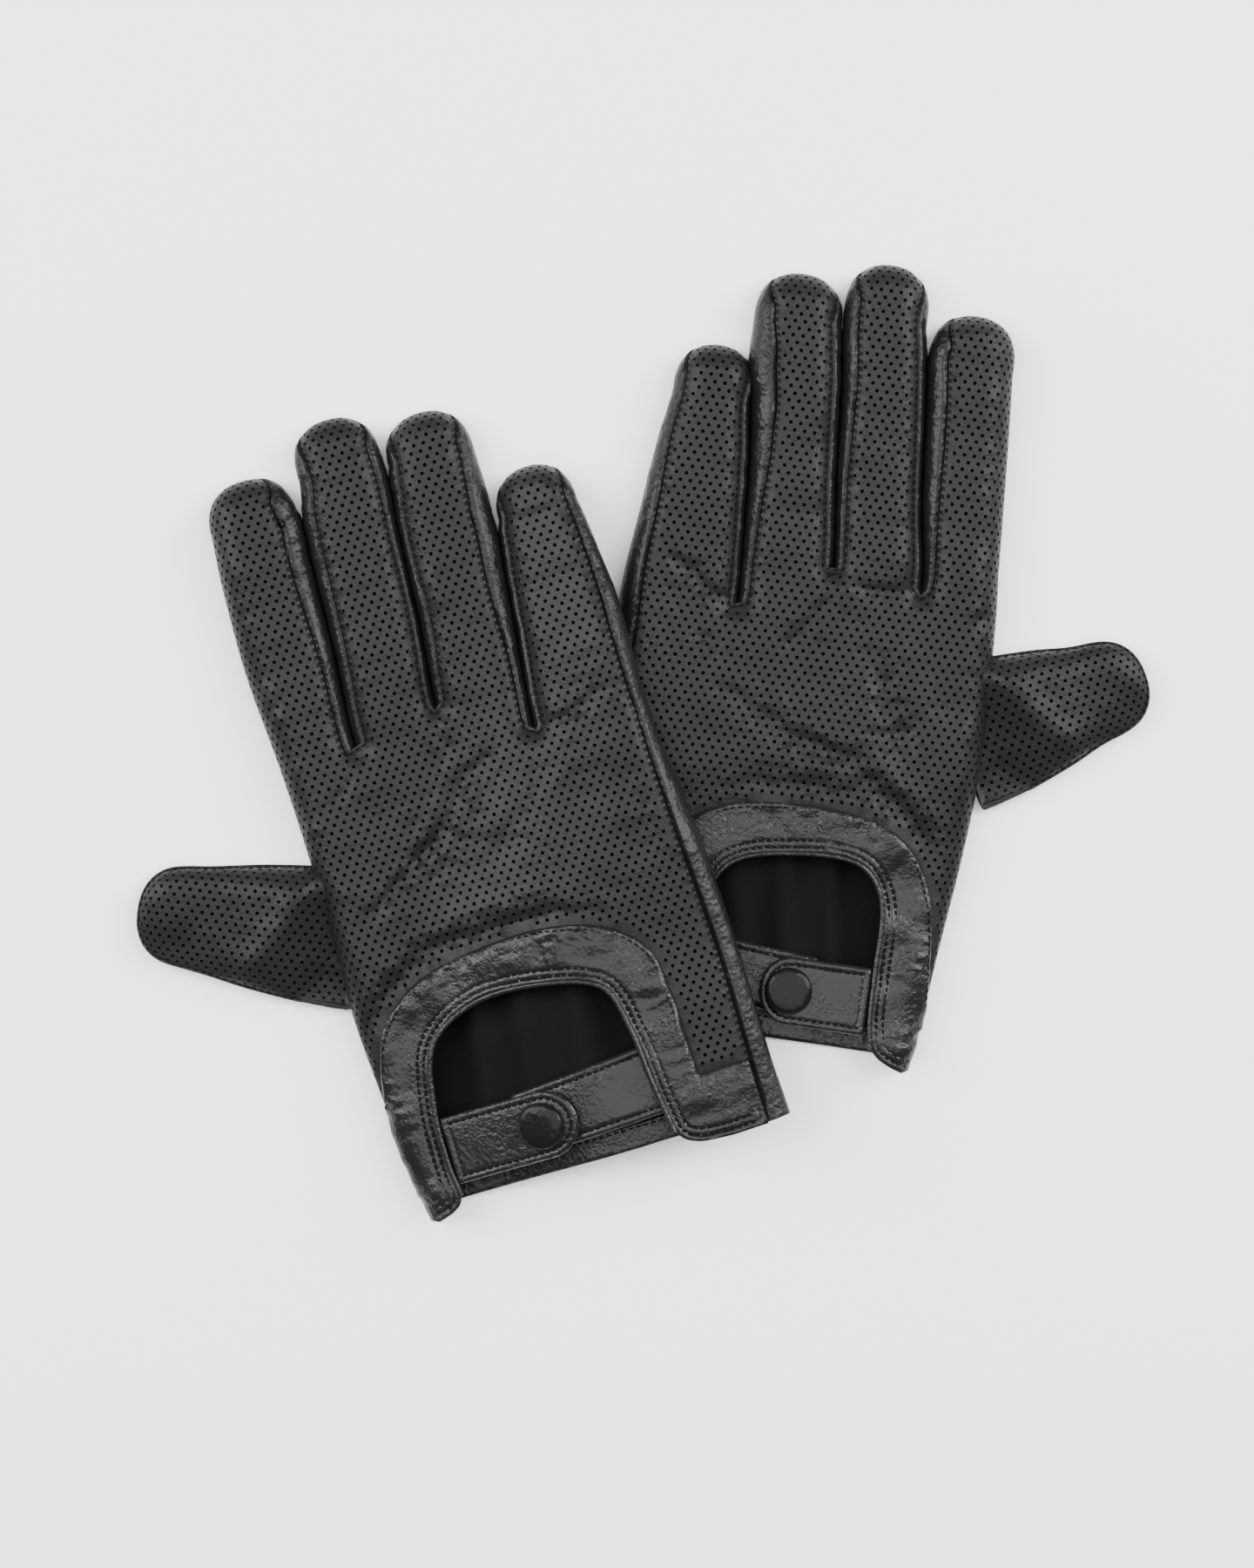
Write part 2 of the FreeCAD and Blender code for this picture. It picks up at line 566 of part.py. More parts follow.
def wrist_closure(glove, nodes):
    """The two straps and the press stud between them."""
    snap_x = glove["snap_x"]
    half = STRAP_WIDTH / 2
    high = (SHEET_HIGH[0], STRAP_SHEET_END)
    base_face = sheet_face(glove, palm_height, SHEET_LOW, high)
    root_x = hermite([(y, x) for x, y in glove["window"][:3]], SNAP_Y) + HINGE_CLEAR
    round_end = [flat_point(glove, snap_x, SNAP_Y - half),
                 flat_point(glove, snap_x + glove["tab_end"], SNAP_Y),
                 flat_point(glove, snap_x, SNAP_Y + half)]
    tab_sides = [line(glove, (root_x, SNAP_Y - half), (snap_x, SNAP_Y - half)),
                 Part.Arc(*round_end).toShape(),
                 line(glove, (snap_x, SNAP_Y + half), (root_x, SNAP_Y + half)),
                 line(glove, (root_x, SNAP_Y + half), (root_x, SNAP_Y - half))]
    tab_plan = prism(Part.Wire(tab_sides))
    slope = math.degrees(math.atan(strap_slope(glove, snap_x)))
    height = lift(glove, snap_x, SNAP_Y)
    middle = (BASE_BOTTOM + TAB_BOTTOM + STRAP) / 2

    def at_snap(shape):
        """Leans a snap part with the strap it is riveted to."""
        moved = shape.copy()
        moved.rotate(Vec(0, 0, middle), Vec(0, 1, 0), -slope * glove["mirror"])
        moved.translate(flat_point(glove, snap_x, SNAP_Y, height))
        return moved

    def drum(radius, bottom, top):
        return Part.makeCylinder(radius, top - bottom, Vec(0, 0, bottom))

    def rounded_top(shape, radius):
        above = tab_top + CAP_POST_TOP
        return shape.makeFillet(radius, [e for e in shape.Edges if e.BoundBox.ZMin > above])

    tab_top = TAB_BOTTOM + STRAP
    base_top = BASE_BOTTOM + STRAP
    cap_top = tab_top + CAP_HEIGHT - COVER
    start = snap_x + BASE_START
    base_plan = polygon(glove, [(start, SNAP_Y + BASE_END[0]), (BASE_TUCK, SNAP_Y + BASE_ROOT[0]),
                                (BASE_TUCK, SNAP_Y + BASE_ROOT[1]), (start, SNAP_Y + BASE_END[1])])
    through = at_snap(drum(STRAP_BORE, FLOOR, DEEP))
    nodes["strap_tab"] = cut(common(tab_plan, slab(base_face, TAB_BOTTOM, tab_top)), through)
    nodes["strap_base"] = cut(common(base_plan, slab(base_face, BASE_BOTTOM, base_top)), through)

    cap = rounded_top(drum(CAP_RADIUS - COVER, tab_top + PLAY, cap_top), CAP_ROUND)
    cap_post = drum(POST_RADIUS, TAB_BOTTOM - PLAY, tab_top + PLAY)
    nodes["snap_cap"] = at_snap(cap.fuse(cap_post).removeSplitter())
    skin = 0.1 * COVER
    cover = rounded_top(drum(CAP_RADIUS, tab_top + PLAY, cap_top + COVER + 2 * skin), COVER_ROUND)
    nodes["cap_cover"] = at_snap(cover.cut(drum(CAP_RADIUS - COVER + skin, tab_top, cap_top + skin)))
    socket_bottom = base_top + PLAY + 2 * FLANGE
    socket = drum(SOCKET_RADIUS, socket_bottom, TAB_BOTTOM - PLAY)
    nodes["snap_socket"] = at_snap(socket.cut(drum(SOCKET_BORE, base_top, TAB_BOTTOM)))
    stud = drum(STUD_RADIUS, base_top + PLAY, TAB_BOTTOM - PLAY - FLANGE)
    flange = drum(STUD_FLANGE, base_top + PLAY, base_top + PLAY + FLANGE)
    nodes["snap_stud"] = at_snap(stud.fuse(flange).removeSplitter())
    rivet = drum(RIVET_RADIUS, BASE_BOTTOM - PLAY - METAL, BASE_BOTTOM - PLAY)
    shank = drum(POST_RADIUS, BASE_BOTTOM - PLAY, base_top + PLAY)
    nodes["stud_rivet"] = at_snap(rivet.fuse(shank).removeSplitter())


def build(glove):
    nodes = {}
    leather_shell(glove, nodes)
    thumb_shell(glove, nodes)
    wrist_closure(glove, nodes)
    for name, shape in nodes.items():
        part = clean(shape)
        part.rotate(Vec(0, 0, 0), Vec(0, 0, 1), glove["turn"])
        part.translate(Vec(*glove["place"], 0))
        part.exportStep(f"parts/{glove['name']}_{name}.step")


def main():
    os.makedirs("parts", exist_ok=True)
    for glove in (LEFT, RIGHT):
        build(glove)


main()
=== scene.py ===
"""A pair of perforated leather driving gloves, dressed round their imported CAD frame.

Each glove is drawn in its own flat frame, in millimetres, as its leather was cut: the wrist edge on Y 0,
fingers towards +Y, the thumb side on -X.  A Skin rolls that flat pattern down over the glove's edges and drapes
it on what lies below.  The left glove is the mirror image, with its own finger positions.
"""

import math

import bpy
import numpy as np
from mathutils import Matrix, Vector, kdtree
from mathutils.geometry import delaunay_2d_cdt


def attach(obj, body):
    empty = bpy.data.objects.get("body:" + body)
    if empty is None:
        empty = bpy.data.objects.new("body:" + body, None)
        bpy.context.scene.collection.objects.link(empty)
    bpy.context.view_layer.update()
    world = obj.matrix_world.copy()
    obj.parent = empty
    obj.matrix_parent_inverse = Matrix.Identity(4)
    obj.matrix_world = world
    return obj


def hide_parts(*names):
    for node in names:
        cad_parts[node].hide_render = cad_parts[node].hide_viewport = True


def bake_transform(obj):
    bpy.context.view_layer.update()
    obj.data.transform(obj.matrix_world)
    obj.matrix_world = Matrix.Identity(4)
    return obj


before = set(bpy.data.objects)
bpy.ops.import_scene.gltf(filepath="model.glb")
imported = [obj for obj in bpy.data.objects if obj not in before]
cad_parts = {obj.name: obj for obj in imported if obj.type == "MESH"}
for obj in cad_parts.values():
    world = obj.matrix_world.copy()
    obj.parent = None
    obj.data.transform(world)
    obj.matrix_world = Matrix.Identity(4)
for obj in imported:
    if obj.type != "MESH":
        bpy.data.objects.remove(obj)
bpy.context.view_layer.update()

MM = 0.001

# ---- the gloves' own sizes (mm), as in the CAD model ----
WRIST_HEIGHT = 10.6
HAND_HEIGHT = 13.0
FINGER_HEIGHT = 13.6
THUMB_HEIGHT = 11.6
TIP_LENGTH = 14.0
TIP_POWER = 2.3
CUFF_Y = 3.0
TRIM_CORNER_Y = 19.8
LIFT_HEIGHT = 13.5       # how far the upper glove is raised by the lower one
LIFT_START = -48.0       # the rise starts and ends at these distances from the lower glove's edge
LIFT_END = 8.0
EDGE_BEND = (-3.0, 47.0)  # where the lower glove's edge, as it passes under the upper one, turns
EDGE_SLOPE = 0.487       # how far that edge runs to the side for each millimetre above the turn
EDGE_SLOPE_LOW = 0.12    # and below it
STRAP = 1.3
STRAP_WIDTH = 20.4
TAB_BOTTOM = 9.6
BASE_BOTTOM = 6.4
SNAP_Y = 18.5
CAP_SIDES = 48
# radius and height of the covered cap, from its edge in
CAP_PROFILE = [(6.8, 0.15), (7.0, 0.45), (7.05, 0.9), (6.85, 1.45), (6.35, 1.9), (5.4, 2.18), (4.0, 2.3),
               (2.4, 2.36), (1.0, 2.38)]
THUMB_ROOT_HEIGHT = 5.8
THUMB_TILT = 0.20        # how much lower the thumb lies for each millimetre towards the wrist
KNUCKLE_BLEND = 16.0     # the hand gives way to the fingers over this distance each side of the knuckles
THUMB_BLEND = (4.0, 14.0)  # and from this far before the thumb's root to this far past it

# ---- how the leather is worked (mm) ----
ROLL = 8.5               # width over which the back leather rolls down to the side
THUMB_ROLL = 9.5
WAIST = 4.5              # height of the side seam, where the glove is widest
PALM_ROLL = 5.0          # width over which the palm leather rolls up to it
ROLL_DROP = 8.6          # usual drop of the roll, which sets how much leather it takes
LEATHER = 0.9            # thickness
CLOTH = 0.4
UNDER_LEATHER = 1.5      # how deep the lining lies under the back's outer face
HOLE_RADIUS = 0.60
HOLE_SIDES = 8
HOLE_COLUMN = 3.0        # spacing of the perforations along a row
HOLE_ROW = 2.15          # spacing of the rows; every other row is offset by half a column
HOLE_MARGIN = 1.7        # no perforation is nearer than this to a seam
CUT_Y = 148.35           # the perforated back is triangulated in parts that meet on this line
OUTLINE_STEP = 0.5       # spacing of the outline's points
EDGE_SOFT = 6            # points each way over which the back's edge is evened out
STITCH = 2.3             # one stitch and its gap
FINE_STITCH = 2.1
THREAD = 0.26            # thread radius
OPENING_ROWS = (2.0, 4.0)  # distances of the two stitch rows from the opening's edge
STRAP_ROW = 2.2          # and of the straps' row from theirs
SEAM_TURN = 0.55         # how far the perforated leather is turned down along a seam
CUFF_ENDS = (3, 4)       # places of the outline that the trim leaves out at the cuff, on each side
WINDOW_LENGTH = 190      # rough length of the opening's edge, which spaces its wrinkles
HEM_INSET = 4.5
BACK_LINING_Y = 12       # the back lining starts this far up

# ---- unevenness of the leather: height, (x, y) size and seed of each layer (mm) ----
HAND_SWELLS = [(1.10, (28, 34), 3), (0.60, (12, 10), 8)]
FINGER_WRINKLES = [(0.22, (9, 3.2), 14)]
HAND_WRINKLES = [(0.16, (5, 3.6), 15)]
CREASE_WANDER = 1.3
CREASE_RIDGE = 0.30      # height of the ridge beside a crease, as a share of its depth
CREASE_REACH = 9.0       # how far the leather beside a crease is uneven
CREASE_SIDES = [(0.30, (2.4, 2.0), 90), (0.28, (5.5, 2.6), 91)]
TRIM_SWELLS = [(0.65, (10, 7), 30)]
TRIM_WRINKLES = [(0.46, (3.0, 9), 31), (0.30, (1.6, 6), 34)]
THUMB_SWELLS = [(0.50, (12, 10), 81), (0.20, (5, 4), 82)]

# ---- materials: scales are per metre, depths in metres ----
CLOUD_SCALE = 55.0
CRACKLE_SCALE = 520.0
TWILL_SCALE = 420.0
TWILL_ANGLE = 0.7
POLISH_SPREAD = 0.06     # how far roughness varies each way
GRAIN_DEPTH = 0.00012
PEBBLE_DEPTH = 0.00022
CRACKLE_DEPTH = 0.00042

# ---- studio (m) ----
FLOOR_HALF = 3
FLOOR_TONE = 0.88
WORLD_LIGHT = 0.20
SENSOR_HEIGHT = 36.0     # in millimetres, like the lens
LENS = 90.0
VIEW_CENTRE = (-0.00487, -0.0125)
VIEW_LEVEL = 0.01        # the level at which the view is VIEW_HEIGHT tall
VIEW_HEIGHT = 0.4675

# Finger: line is (y, x, half width) stations; near and far are (y, inset) of the perforated back's edge from
# the finger's two sides, and end is how far round the tip it still reaches them.  The sides are (y, x), and
# outseam is (y, inset).  Crease: its line, depth and width.  Fold of the lining: x, width and height.
RIGHT = {
    "name": "right",
    "mirror": 1,
    "turn": 17.0,
    "place": (-9.97, -126.78),
    "raised": True,
    "fingers": {
        "index": {"line": [(118, -46.5, 13.2), (141, -48.2, 11.6), (172, -47.8, 13.6), (200, -46.8, 13.7),
                           (214, -45.8, 13.4)], "tip": 228.3,
                  "near": [(140, 0), (230, 0)], "far": [(143, 3.2), (165, 4.2), (190, 6.0), (212, 6.6)],
                  "end": (7.0, 3.0)},
        "middle": {"line": [(118, -22.5, 12.8), (144, -23.2, 12.4), (172, -20.5, 12.9), (200, -18.8, 13.0),
                            (222, -16.2, 12.8)], "tip": 238.5,
                   "near": [(145, 3.2), (170, 3.6), (200, 4.2), (220, 4.0)],
                   "far": [(147, 2.0), (180, 1.6), (215, 3.2)], "end": (5.0, 6.0)},
        "ring": {"line": [(112, 3.0, 12.8), (141, 3.6, 12.6), (172, 6.5, 12.9), (200, 9.8, 13.8),
                          (216, 10.8, 12.9)], "tip": 232.4,
                 "near": [(147, 2.0), (170, 3.6), (195, 2.2), (215, 3.0)],
                 "far": [(134, 2.6), (150, 3.2), (175, 6.0), (200, 6.4), (216, 4.4)], "end": (6.0, 6.0)},
        "little": {"line": [(108, 33.5, 17.2), (131, 34.2, 16.6), (160, 36.9, 14.9), (180, 37.1, 13.2),
                            (193, 36.8, 12.0)], "tip": 207.5,
                   "near": [(134, 1.8), (165, 1.4), (192, 1.6)],
                   "far": [(131, 4.0), (156, 5.2), (180, 3.8), (192, 3.0)], "end": (5.0, 5.0)},
    },
    "crotches": (141.5, 146.0, 131.5),
    "knuckles": ((-60.0, 137.5), (52.0, 123.0)),
    "thumb_side": [(-2, -55.4), (14, -57.6), (40, -59.4), (65, -60.6), (90, -59.6), (125, -59.4),
                   (152, -60.2)],
    "outer_side": [(-2, 56.2), (20, 55.4), (60, 55.5), (90, 54.2), (117, 51.5), (135, 51.0), (152, 51.0)],
    "outseam": [(-4, 7.0), (40, 6.2), (87, 6.7), (118, 4.4), (133, 3.6)],
    "arch": [(-66.0, 33.0), (-61.0, 38.0), (-57.4, 48.5), (-52.6, 59.0), (-39.3, 69.4), (-18.0, 74.0),
             (4.0, 74.2), (20.6, 69.0), (30.4, 58.8), (32.7, 44.0), (33.2, 30.0), (33.5, TRIM_CORNER_Y)],
    "window": [(-44.6, 5.0), (-45.6, 14.0), (-44.8, 32.0), (-39.2, 50.7), (-22.4, 59.2), (0.0, 58.2),
               (14.1, 52.3), (18.2, 38.0), (19.7, 22.0), (21.2, 10.1), (21.8, 5.6)],
    "left_flap": [(-45.4, 2.4), (-48.8, 0.4), (-54.4, -1.2)],
    "right_flap": [(24.0, 2.4), (28.8, 0.4), (38.1, -0.4), (49.0, -0.2)],
    "snap_x": -14.8,
    "tab_end": 10.2,
    "thumb": {"root": (-60.2, 90.0), "tip": (-112.6, 114.4),
              "half": [(-26, 20.5), (0, 20.5), (20, 18.6), (38, 15.6), (46, 14.6)]},
    "creases": [
        ([(3.0, 129.5), (-12.4, 119.7), (-17.8, 111.4), (-32.7, 100.2), (-47.5, 91.5)], 1.9, 1.7),
        ([(20.5, 130.0), (30.0, 133.0), (44.0, 137.6)], 1.3, 1.5),
        ([(-61.0, 124.0), (-55.0, 128.0)], 1.2, 2.0),
        ([(-60.0, 158.0), (-50.0, 162.0)], 0.7, 1.5),
        ([(-60.5, 53.0), (-55.0, 62.5), (-40.5, 73.2), (-18.5, 77.8), (4.5, 77.8), (22.5, 72.0)], 2.3, 2.5),
        ([(14.0, 122.0), (6.0, 108.0), (-8.0, 96.0)], 0.8, 2.4),
        ([(34.0, 118.0), (40.0, 98.0), (42.0, 76.0)], 0.6, 2.6),
        ([(-10.2, 143.0), (-9.0, 132.0)], 1.0, 1.2),
        ([(-38.0, 139.0), (-43.0, 131.0), (-52.0, 126.0)], 0.8, 1.4),
    ],
    "folds": [(-29.0, 4.6, 3.0), (-14.0, 6.2, 4.0), (3.0, 6.6, 3.6)],
}
LEFT = {
    "name": "left",
    "mirror": -1,
    "turn": -8.3,
    "place": (28.33, -90.68),
    "raised": False,
    "fingers": {
        "index": {"line": [(118, -45.0, 13.6), (145, -46.4, 10.9), (164, -44.0, 12.1), (191, -41.5, 12.7),
                           (210, -39.7, 12.9)], "tip": 226.3,
                  "near": [(140, 0), (230, 0)], "far": [(143, 2.4), (165, 4.6), (190, 6.0), (210, 6.0)],
                  "end": (7.0, 4.0)},
        "middle": {"line": [(118, -22.0, 12.8), (146, -21.0, 12.4), (172, -17.7, 12.5), (200, -15.1, 12.3),
                            (221, -12.2, 12.4)], "tip": 237.8,
                   "near": [(145, 2.2), (175, 1.8), (205, 2.4), (220, 3.0)],
                   "far": [(146, 2.0), (175, 3.0), (205, 4.6), (220, 4.4)], "end": (6.0, 6.0)},
        "ring": {"line": [(112, 4.5, 12.6), (143, 5.7, 12.4), (172, 8.4, 12.5), (200, 12.4, 13.8),
                          (215, 13.6, 13.0)], "tip": 231.4,
                 "near": [(146, 2.2), (175, 2.6), (205, 2.6), (216, 3.0)],
                 "far": [(132, 2.6), (150, 3.4), (178, 6.6), (205, 8.6), (216, 6.0)], "end": (7.0, 6.0)},
        "little": {"line": [(108, 37.0, 17.4), (132, 37.6, 16.7), (155, 37.1, 15.0), (176, 36.4, 13.5),
                            (190, 35.5, 12.0)], "tip": 206.7,
                   "near": [(133, 1.6), (165, 2.0), (190, 2.0)],
                   "far": [(131, 6.4), (156, 5.2), (180, 3.4), (190, 3.0)], "end": (5.0, 4.0)},
    },
    "crotches": (141.5, 144.5, 130.2),
    "knuckles": ((-60.0, 137.5), (55.0, 123.0)),
    "thumb_side": [(-2, -51.0), (14, -53.2), (40, -55.8), (65, -58.4), (90, -59.9), (125, -58.9),
                   (152, -57.2)],
    "outer_side": [(-2, 55.2), (20, 55.2), (60, 55.5), (90, 55.2), (117, 54.8), (135, 54.0), (152, 53.0)],
    "outseam": [(-4, 7.0), (40, 6.4), (87, 6.7), (118, 6.8), (133, 6.4)],
    "arch": [(-61.0, 14.0), (-57.0, 20.0), (-54.3, 32.0), (-50.6, 51.0), (-41.5, 66.6), (-25.4, 73.0),
             (-3.2, 73.8), (15.6, 70.2), (27.0, 62.0), (32.2, 48.0), (33.2, 32.0), (33.5, TRIM_CORNER_Y)],
    "window": [(-39.0, 4.6), (-37.7, 12.0), (-37.2, 26.0), (-36.0, 49.0), (-27.4, 59.0), (-5.3, 58.9),
               (10.0, 54.0), (17.0, 42.0), (19.4, 24.0), (21.0, 10.0), (21.6, 5.6)],
    "left_flap": [(-41.6, 2.0), (-45.8, 0.0), (-50.6, -1.4)],
    "right_flap": [(24.0, 2.4), (28.8, 0.4), (38.1, -0.4), (48.6, -0.2)],
    "snap_x": -12.4,
    "tab_end": 8.7,
    "thumb": {"root": (-60.2, 103.8), "tip": (-104.6, 127.2),
              "half": [(-26, 21.3), (0, 21.3), (20, 18.0), (32, 14.9), (40, 14.0)]},
    "creases": [
        ([(22.0, 107.0), (6.8, 98.0), (-6.6, 91.6), (-20.9, 88.1), (-33.1, 80.2), (-42.6, 72.0),
          (-50.5, 62.0)], 2.0, 2.2),
        ([(42.0, 142.0), (31.0, 135.0), (20.5, 128.0)], 1.5, 1.6),
        ([(-9.0, 143.0), (-20.0, 140.0), (-31.0, 141.0)], 0.9, 1.3),
        ([(-20.0, 125.0), (-29.2, 107.3), (-38.0, 88.0)], 1.6, 3.2),
        ([(-50.0, 60.0), (-40.0, 74.0), (-25.0, 79.0), (-3.0, 80.0), (18.0, 76.0)], 1.3, 2.8),
        ([(-8.0, 141.0), (-4.0, 128.0), (4.0, 118.0)], 0.8, 1.6),
        ([(-58.0, 140.0), (-50.0, 134.0)], 0.9, 1.8),
        ([(30.0, 120.0), (20.0, 114.0)], 0.8, 1.8),
    ],
    "folds": [(-23.0, 4.4, 3.0), (-9.0, 6.0, 4.0), (6.0, 6.0, 3.6)],
}


# ---- small mathematics ----
def hermite(stations, at):
    """Value at `at` of a smooth curve through (position, value) stations."""
    position, value = np.array(stations, float).T
    count = np.arange(len(position))
    before, after = np.maximum(count - 1, 0), np.minimum(count + 1, len(position) - 1)
    slope = (value[after] - value[before]) / (position[after] - position[before])
    at = np.clip(at, position[0], position[-1])
    i = np.clip(np.searchsorted(position, at, "right") - 1, 0, len(position) - 2)
    step = position[i + 1] - position[i]
    t = (at - position[i]) / step
    return (
        value[i] * (2 * t**3 - 3 * t**2 + 1)
        + value[i + 1] * (3 * t**2 - 2 * t**3)
        + slope[i] * step * (t**3 - 2 * t**2 + t)
        + slope[i + 1] * step * (t**3 - t**2)
    )


def ease(value, start, end):
    """0 up to start, 1 from end on, and a smooth rise between."""
    t = np.clip((value - start) / (end - start), 0.0, 1.0)
    return t * t * (3 - 2 * t)


def value_noise(at, cell, seed):
    """Smooth noise from -1 to 1 over a plane; cell is the (x, y) size of its grid."""
    table = np.random.RandomState(seed).uniform(-1, 1, (64, 64))
    grid = np.asarray(at, float) / np.asarray(cell, float) + 1000.0
    corner = np.floor(grid).astype(int)
    t = grid - corner
    t = t * t * (3 - 2 * t)
    x0, y0 = corner[:, 0] % 64, corner[:, 1] % 64
    x1, y1 = (x0 + 1) % 64, (y0 + 1) % 64
    low = table[x0, y0] * (1 - t[:, 0]) + table[x1, y0] * t[:, 0]
    high = table[x0, y1] * (1 - t[:, 0]) + table[x1, y1] * t[:, 0]
    return low * (1 - t[:, 1]) + high * t[:, 1]


def relief(at, layers, shift=0):
    """Sum of layers of noise, each given as (height, cell, seed); shift is added to every seed."""
    return sum(height * value_noise(at, cell, seed + shift) for height, cell, seed in layers)


def resample(points, step):
    """Points at equal spacing along a polyline."""
    points = np.asarray(points, float)
    length = np.concatenate([[0.0], np.cumsum(np.linalg.norm(np.diff(points, axis=0), axis=1))])
    count = max(2, int(round(length[-1] / step)) + 1)
    at = np.linspace(0, length[-1], count)
    return np.column_stack([np.interp(at, length, points[:, k]) for k in range(points.shape[1])])


def closed_loop(points, step):
    """Points at equal spacing round a polygon, the first one not repeated."""
    return resample(np.vstack([points, points[:1]]), step)[:-1]


def smooth_line(points, step, sigma):
    """A polyline rounded off over about sigma millimetres, its ends kept."""
    fine = resample(points, step)
    reach = int(3 * sigma / step)
    weights = np.exp(-0.5 * (np.arange(-reach, reach + 1) * step / sigma) ** 2)
    weights /= weights.sum()
    first, last = fine[0], fine[-1]
    padded = np.vstack([2 * first - fine[reach:0:-1], fine, 2 * last - fine[-2:-reach - 2:-1]])
    rounded = np.column_stack([np.convolve(padded[:, k], weights, "valid") for k in range(2)])
    return resample(rounded, step)


def through(points, step=0.8):
    """A smooth curve through a few points."""
    points = np.asarray(points, float)
    chord = np.concatenate([[0.0], np.cumsum(np.linalg.norm(np.diff(points, axis=0), axis=1))])
    at = np.arange(0, chord[-1], step)
    line = np.column_stack([hermite(np.column_stack([chord, points[:, k]]), at) for k in range(2)])
    return np.vstack([line, points[-1]])


def left_normals(line):
    """Unit vectors to the left of a polyline's direction."""
    along = np.gradient(line, axis=0)
    along /= np.linalg.norm(along, axis=1)[:, None]
    return np.column_stack([-along[:, 1], along[:, 0]])


def distance_to_line(at, line):
    """Distance of each point from a polyline, and how far along it the nearest place is, from 0 to 1."""
    best = np.full(len(at), 1e9)
    share = np.zeros(len(at))
    lengths = np.linalg.norm(np.diff(line, axis=0), axis=1)
    total, walked = lengths.sum(), 0.0
    for a, b, length in zip(line, line[1:], lengths):
        t = np.clip(((at - a) @ (b - a)) / length**2, 0, 1)
        away = np.linalg.norm(at - a - t[:, None] * (b - a), axis=1)
        nearer = away < best
        best[nearer] = away[nearer]
        share[nearer] = (walked + t[nearer] * length) / total
        walked += length
    return best, share


def inside_polygon(at, polygon):
    """Which of the points lie inside a polygon."""
    x, y = at[:, 0], at[:, 1]
    inside = np.zeros(len(at), bool)
    for (ax, ay), (bx, by) in zip(polygon, np.roll(polygon, -1, axis=0)):
        crosses = (ay > y) != (by > y)
        inside ^= crosses & (x < (bx - ax) * (y - ay) / (by - ay + 1e-12) + ax)
    return inside


# ---- the shape of a glove ----
def lift(glove, x, y):
    """How far the glove is raised off the table at a point, by the glove under it."""
    if not glove["raised"]:
        return np.zeros_like(x)
    past_bend = y - EDGE_BEND[1]
    edge_x = EDGE_BEND[0] + np.where(past_bend > 0, EDGE_SLOPE * past_bend, -EDGE_SLOPE_LOW * past_bend)
    beside = (x - edge_x) * math.cos(math.atan(EDGE_SLOPE))
    droop = 1 - 0.18 * (1 - ease(y, -5, 40)) * ease(x, 20, 56)
    return LIFT_HEIGHT * ease(beside, LIFT_START, LIFT_END) * droop


def creased(glove, at):
    """Height that folds and creases add to the back leather."""
    height = np.zeros(len(at))
    beside = np.zeros(len(at))
    for k, (points, deep, wide) in enumerate(glove["creases"]):
        wander = np.column_stack([value_noise(at, (9, 9), seed + k) for seed in (20, 40)])
        away, share = distance_to_line(at + CREASE_WANDER * wander, through(points, 4.0))
        fade = np.sin(np.pi * np.clip(share, 0, 1)) ** 0.5
        uneven = 0.75 + 0.35 * value_noise(at, (8, 8), 60 + k)
        x = away / (wide * 1.15)
        groove, ridge = np.exp(-(x**2)), np.exp(-((x - 2.3) / 1.2) ** 2)
        height += deep * fade * uneven * (CREASE_RIDGE * ridge - groove)
        beside = np.maximum(beside, fade * np.exp(-((away / CREASE_REACH) ** 2)) * min(deep, 1.6))
    return height + beside * relief(at, CREASE_SIDES)


def back_thickness(glove, plan):
    """Height of the back leather over what the glove lies on."""
    y = plan[:, 1]
    height = WRIST_HEIGHT + (HAND_HEIGHT - WRIST_HEIGHT) * ease(y, 50, 90)
    height = height + (FINGER_HEIGHT - HAND_HEIGHT) * ease(y, 120, 160)
    calm = ease(y, 20, 90)
    fingers = ease(y, 135, 160)
    height += calm * relief(plan, HAND_SWELLS, glove["mirror"])
    height += fingers * relief(plan, FINGER_WRINKLES, glove["mirror"])
    height += (1 - fingers) * calm * relief(plan, HAND_WRINKLES, glove["mirror"])
    return height + creased(glove, plan) - 0.3


class Surface:
    """Where the points of a flat pattern lie; what is based on it has the method lay."""

    def stand(self, flat):
        """Laid points and unit normals, for flat pattern points."""
        flat = np.asarray(flat, float)
        steps = np.eye(2) * self.probe
        across, along = (self.lay(flat + step) - self.lay(flat - step) for step in steps)
        normal = np.cross(across, along)
        length = np.linalg.norm(normal, axis=1)[:, None]
        return self.lay(flat), np.where(length > 1e-5, normal / np.maximum(length, 1e-5), (0.0, 0.0, 1.0))


